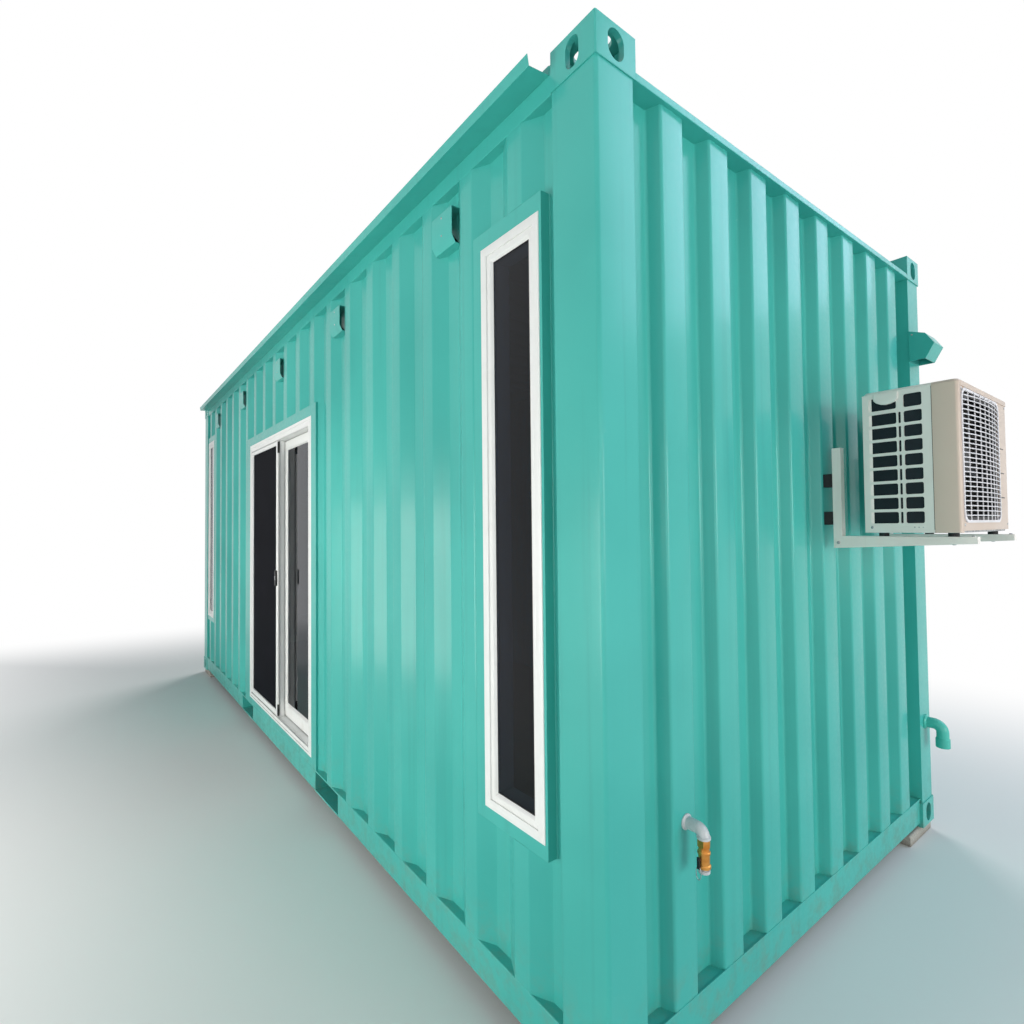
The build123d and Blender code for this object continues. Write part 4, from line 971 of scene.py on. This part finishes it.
def build_pipes():
    """Grey water inlet with its brass connector and lever, and the painted drain elbow."""
    lip = [(0, 0.0165), (0, 0.0192), (0.001, 0.02), (0.006, 0.02), (0.007, 0.0192),
           (0.008, inlet_pipe[0])]
    end = wall_elbow("water_inlet", "grey_plastic", inlet_pipe, inlet_flange, lip, 32)
    build_lever(build_brass_connector(end))
    socket = [(0.012, 0.001), (0.012, drain_bore), (0.0, drain_bore), (0.0, drain_socket - 0.0015),
              (0.0015, drain_socket), (drain_socket_height - 0.002, drain_socket),
              (drain_socket_height, drain_socket - 0.002), (drain_socket_height + 0.004, drain_pipe[0])]
    wall_elbow("drain_elbow", "painted_pipe", drain_pipe, drain_flange, socket, 36, drain_stop)


def build_rivets():
    """Rivets of the vent covers and the hood."""
    low, high = corners("wall_vents")
    places = np.linspace(low[0] + vent_width / 2, high[0] - vent_width / 2, vent_count)
    heads = [screw((place, low[1], high[2] - drop), 1, -1, *rivet)
             for place in places for drop in vent_rivet_drops]
    low, high = corners("cable_hood")
    heads += [screw((low[0] + 0.014, side, high[2] - 0.022), 1, sign, *rivet)
              for side, sign in ((low[1], -1), (high[1], 1))]
    piece("cover_rivets", heads, "zinc")


def build_door_parts():
    """Dark guides at the ends of the screen's stile, its thumb catch, and a cover strip on the sill."""
    low, high = corners("screen_panel")
    guides = [block((high[0] - 0.006, low[1] - guide_edge, bottom),
                    (high[0] + guide_edge, low[1] + 0.012, bottom + guide_height), guide_edge)
              for bottom in (low[2] + 0.004, high[2] - 0.004 - guide_height)]
    piece("screen_guides", guides, "black_plastic", "screen")
    latch_low, latch_high = corners("screen_latch")
    middle = (latch_low + latch_high) / 2 + (0, 0, latch_rise)
    latch_low[2], latch_high[2] = middle[2] - latch_height / 2, middle[2] + latch_height / 2
    piece("screen_latch_case", [block(latch_low, latch_high, 0.0015)], "black_plastic", "screen",
          replaces=["screen_latch"])
    thumb = block((middle[0] - 0.005, latch_low[1] - 0.001, middle[2] - 0.014),
                  (middle[0] + 0.005, latch_low[1] + 0.004, middle[2] + 0.014), 0.0015)
    piece("screen_thumb_catch", [thumb], "zinc", "screen")
    frame_low, frame_high = corners("door_frame")
    strip = block((frame_low[0] + door_jamb, frame_low[1] - 0.0001, frame_low[2] + 0.014),
                  (frame_high[0] - door_jamb, frame_low[1] + 0.003, frame_low[2] + 0.017), 0.0004, 0)
    piece("sill_line", [strip], "zinc")


def placed(right, up, back, place):
    """The columns of the matrix, as Blender reads it, from three directions and a place."""
    matrix = np.eye(4)
    matrix[:3] = np.column_stack([right, up, back, place])
    return matrix.T.tolist()


def build_camera():
    """The camera of the photograph: a turn about the upright, a tilt and a small roll."""
    turn, tilt, roll = map(math.radians, (camera_turn, camera_tilt, camera_roll))
    ahead = np.array([-math.sin(turn) * math.cos(tilt), math.cos(turn) * math.cos(tilt), math.sin(tilt)])
    across = unit(np.cross(ahead, [0, 0, 1]))
    upright = np.cross(across, ahead)
    right = math.cos(roll) * across + math.sin(roll) * upright
    up = math.cos(roll) * upright - math.sin(roll) * across
    data = bpy.data.cameras.new("photo_camera")
    data.sensor_width = sensor_width
    data.lens = sensor_width * focal_pixels / photo_pixels
    data.clip_end = 200.0
    camera = new_object("photo_camera", data)
    camera.matrix_world = placed(right, up, -ahead, camera_place)
    bpy.context.scene.camera = camera


def background_rays(nodes):
    """1 for the rays of the camera, of gloss and of glass, else 0."""
    seen, *others = [nodes.add("ShaderNodeLightPath", {}, {}, name)
                     for name in ("Is Camera Ray", "Is Glossy Ray", "Is Transmission Ray")]
    for ray in others:
        seen = seen.maths("MAXIMUM", ray)
    return seen


def white_where(nodes, share, shader, output):
    """Blend a shader into plain white by a share and feed it to the output's Surface."""
    white = nodes.add("ShaderNodeEmission", {}, {"Color": (255, 255, 255)})
    plain = Value(nodes, shader.outputs[0])
    blend = nodes.add("ShaderNodeMixShader", {}, {0: share, 1: plain, 2: white})
    nodes.feed(nodes.tree.nodes[output].inputs["Surface"], blend)


def build_floor():
    """A pale floor that fades to white away from the cabin."""
    s = Shader("studio_floor", Roughness=0.9)
    s.set("Base Color", s.mix(s.noise(2.0, 2.0) * 0.2, (232, 232, 230), (222, 222, 220)))
    past_end = s.axis(0).maths("ABSOLUTE") - cabin_half_length
    outside = past_end.maths("MAXIMUM", s.axis(1).maths("ABSOLUTE") - cabin_half_width)
    faded = outside.between(fade_start, fade_end) * background_rays(s)
    white_where(s, faded, s.principled, "Material Output")
    mesh = bpy.data.meshes.new("studio_floor")
    edge = rectangle((-floor_reach, -floor_reach), (floor_reach, floor_reach))
    mesh.from_pydata([(*corner, 0) for corner in edge], [], [(0, 1, 2, 3)])
    mesh.materials.append(s.material)
    floor = new_object("studio_floor", mesh)


def build_world():
    """A dim sky for the light, which the background's rays see as white."""
    world = bpy.data.worlds.new("studio")
    world.use_nodes = True
    nodes = NodeTree(world.node_tree)
    sky = world.node_tree.nodes["Background"]
    sky.inputs["Color"].default_value = (*sky_colour, 1.0)
    sky.inputs["Strength"].default_value = sky_strength
    white_where(nodes, background_rays(nodes), sky, "World Output")
    bpy.context.scene.world = world


def lamp(name, place, aim, width, power, colour=(1.0, 1.0, 1.0)):
    """A square area lamp at a place, turned towards its aim."""
    data = bpy.data.lights.new(name, "AREA")
    data.size, data.energy, data.color = width, power, colour
    back = unit(np.subtract(place, aim))
    across = unit(np.cross([0, 0, 1], back))
    new_object(name, data).matrix_world = placed(across, np.cross(back, across), back, place)


def build_lights():
    """Soft lamps: before the front wall, at the near corner, low down, behind and at the right end."""
    lamp("front", (2.5, -9.0, 1.6), (2.4, -8.65, 0.6), 5.0, 190.0, (1.0, 0.97, 0.92))
    lamp("key", (8.0, -6.5, 2.0), (3.2, 0, 0.6), 3.0, 110.0, (1.0, 0.98, 0.94))
    lamp("ground_bounce", (1.0, -4.9, 0.85), (0.7, -1.2, 0.3), 2.0, 92.0, (1.0, 0.97, 0.92))
    lamp("sky", (8.5, 8.5, 9.0), (3.0, 0, 1.6), 6.0, 440.0, (0.58, 0.76, 1.0))
    lamp("side", (11.0, 0.5, 1.7), (10.55, 0.5, 0.9), 4.0, 470.0, (1.0, 0.98, 0.94))
    lamp("back_fill", (-9.0, 9.0, 9.0), (0, 0, 1.6), 8.0, 950.0)


finish_cad_nodes()
build_camera()
build_long_walls()
build_end_walls()
build_bottom_rails()
build_windows()
build_door_frame()
build_leaf("fixed", "cabin")
build_leaf("sliding", "sliding_door")
build_screen()
build_door_parts()
build_softened_parts()
build_fan_guard()
build_louvre_panel()
build_casing_details()
build_bracket_bolts()
build_pipes()
build_rivets()
build_welds()
build_floor()
build_world()
build_lights()
bpy.context.scene.view_settings.view_transform = "Standard"
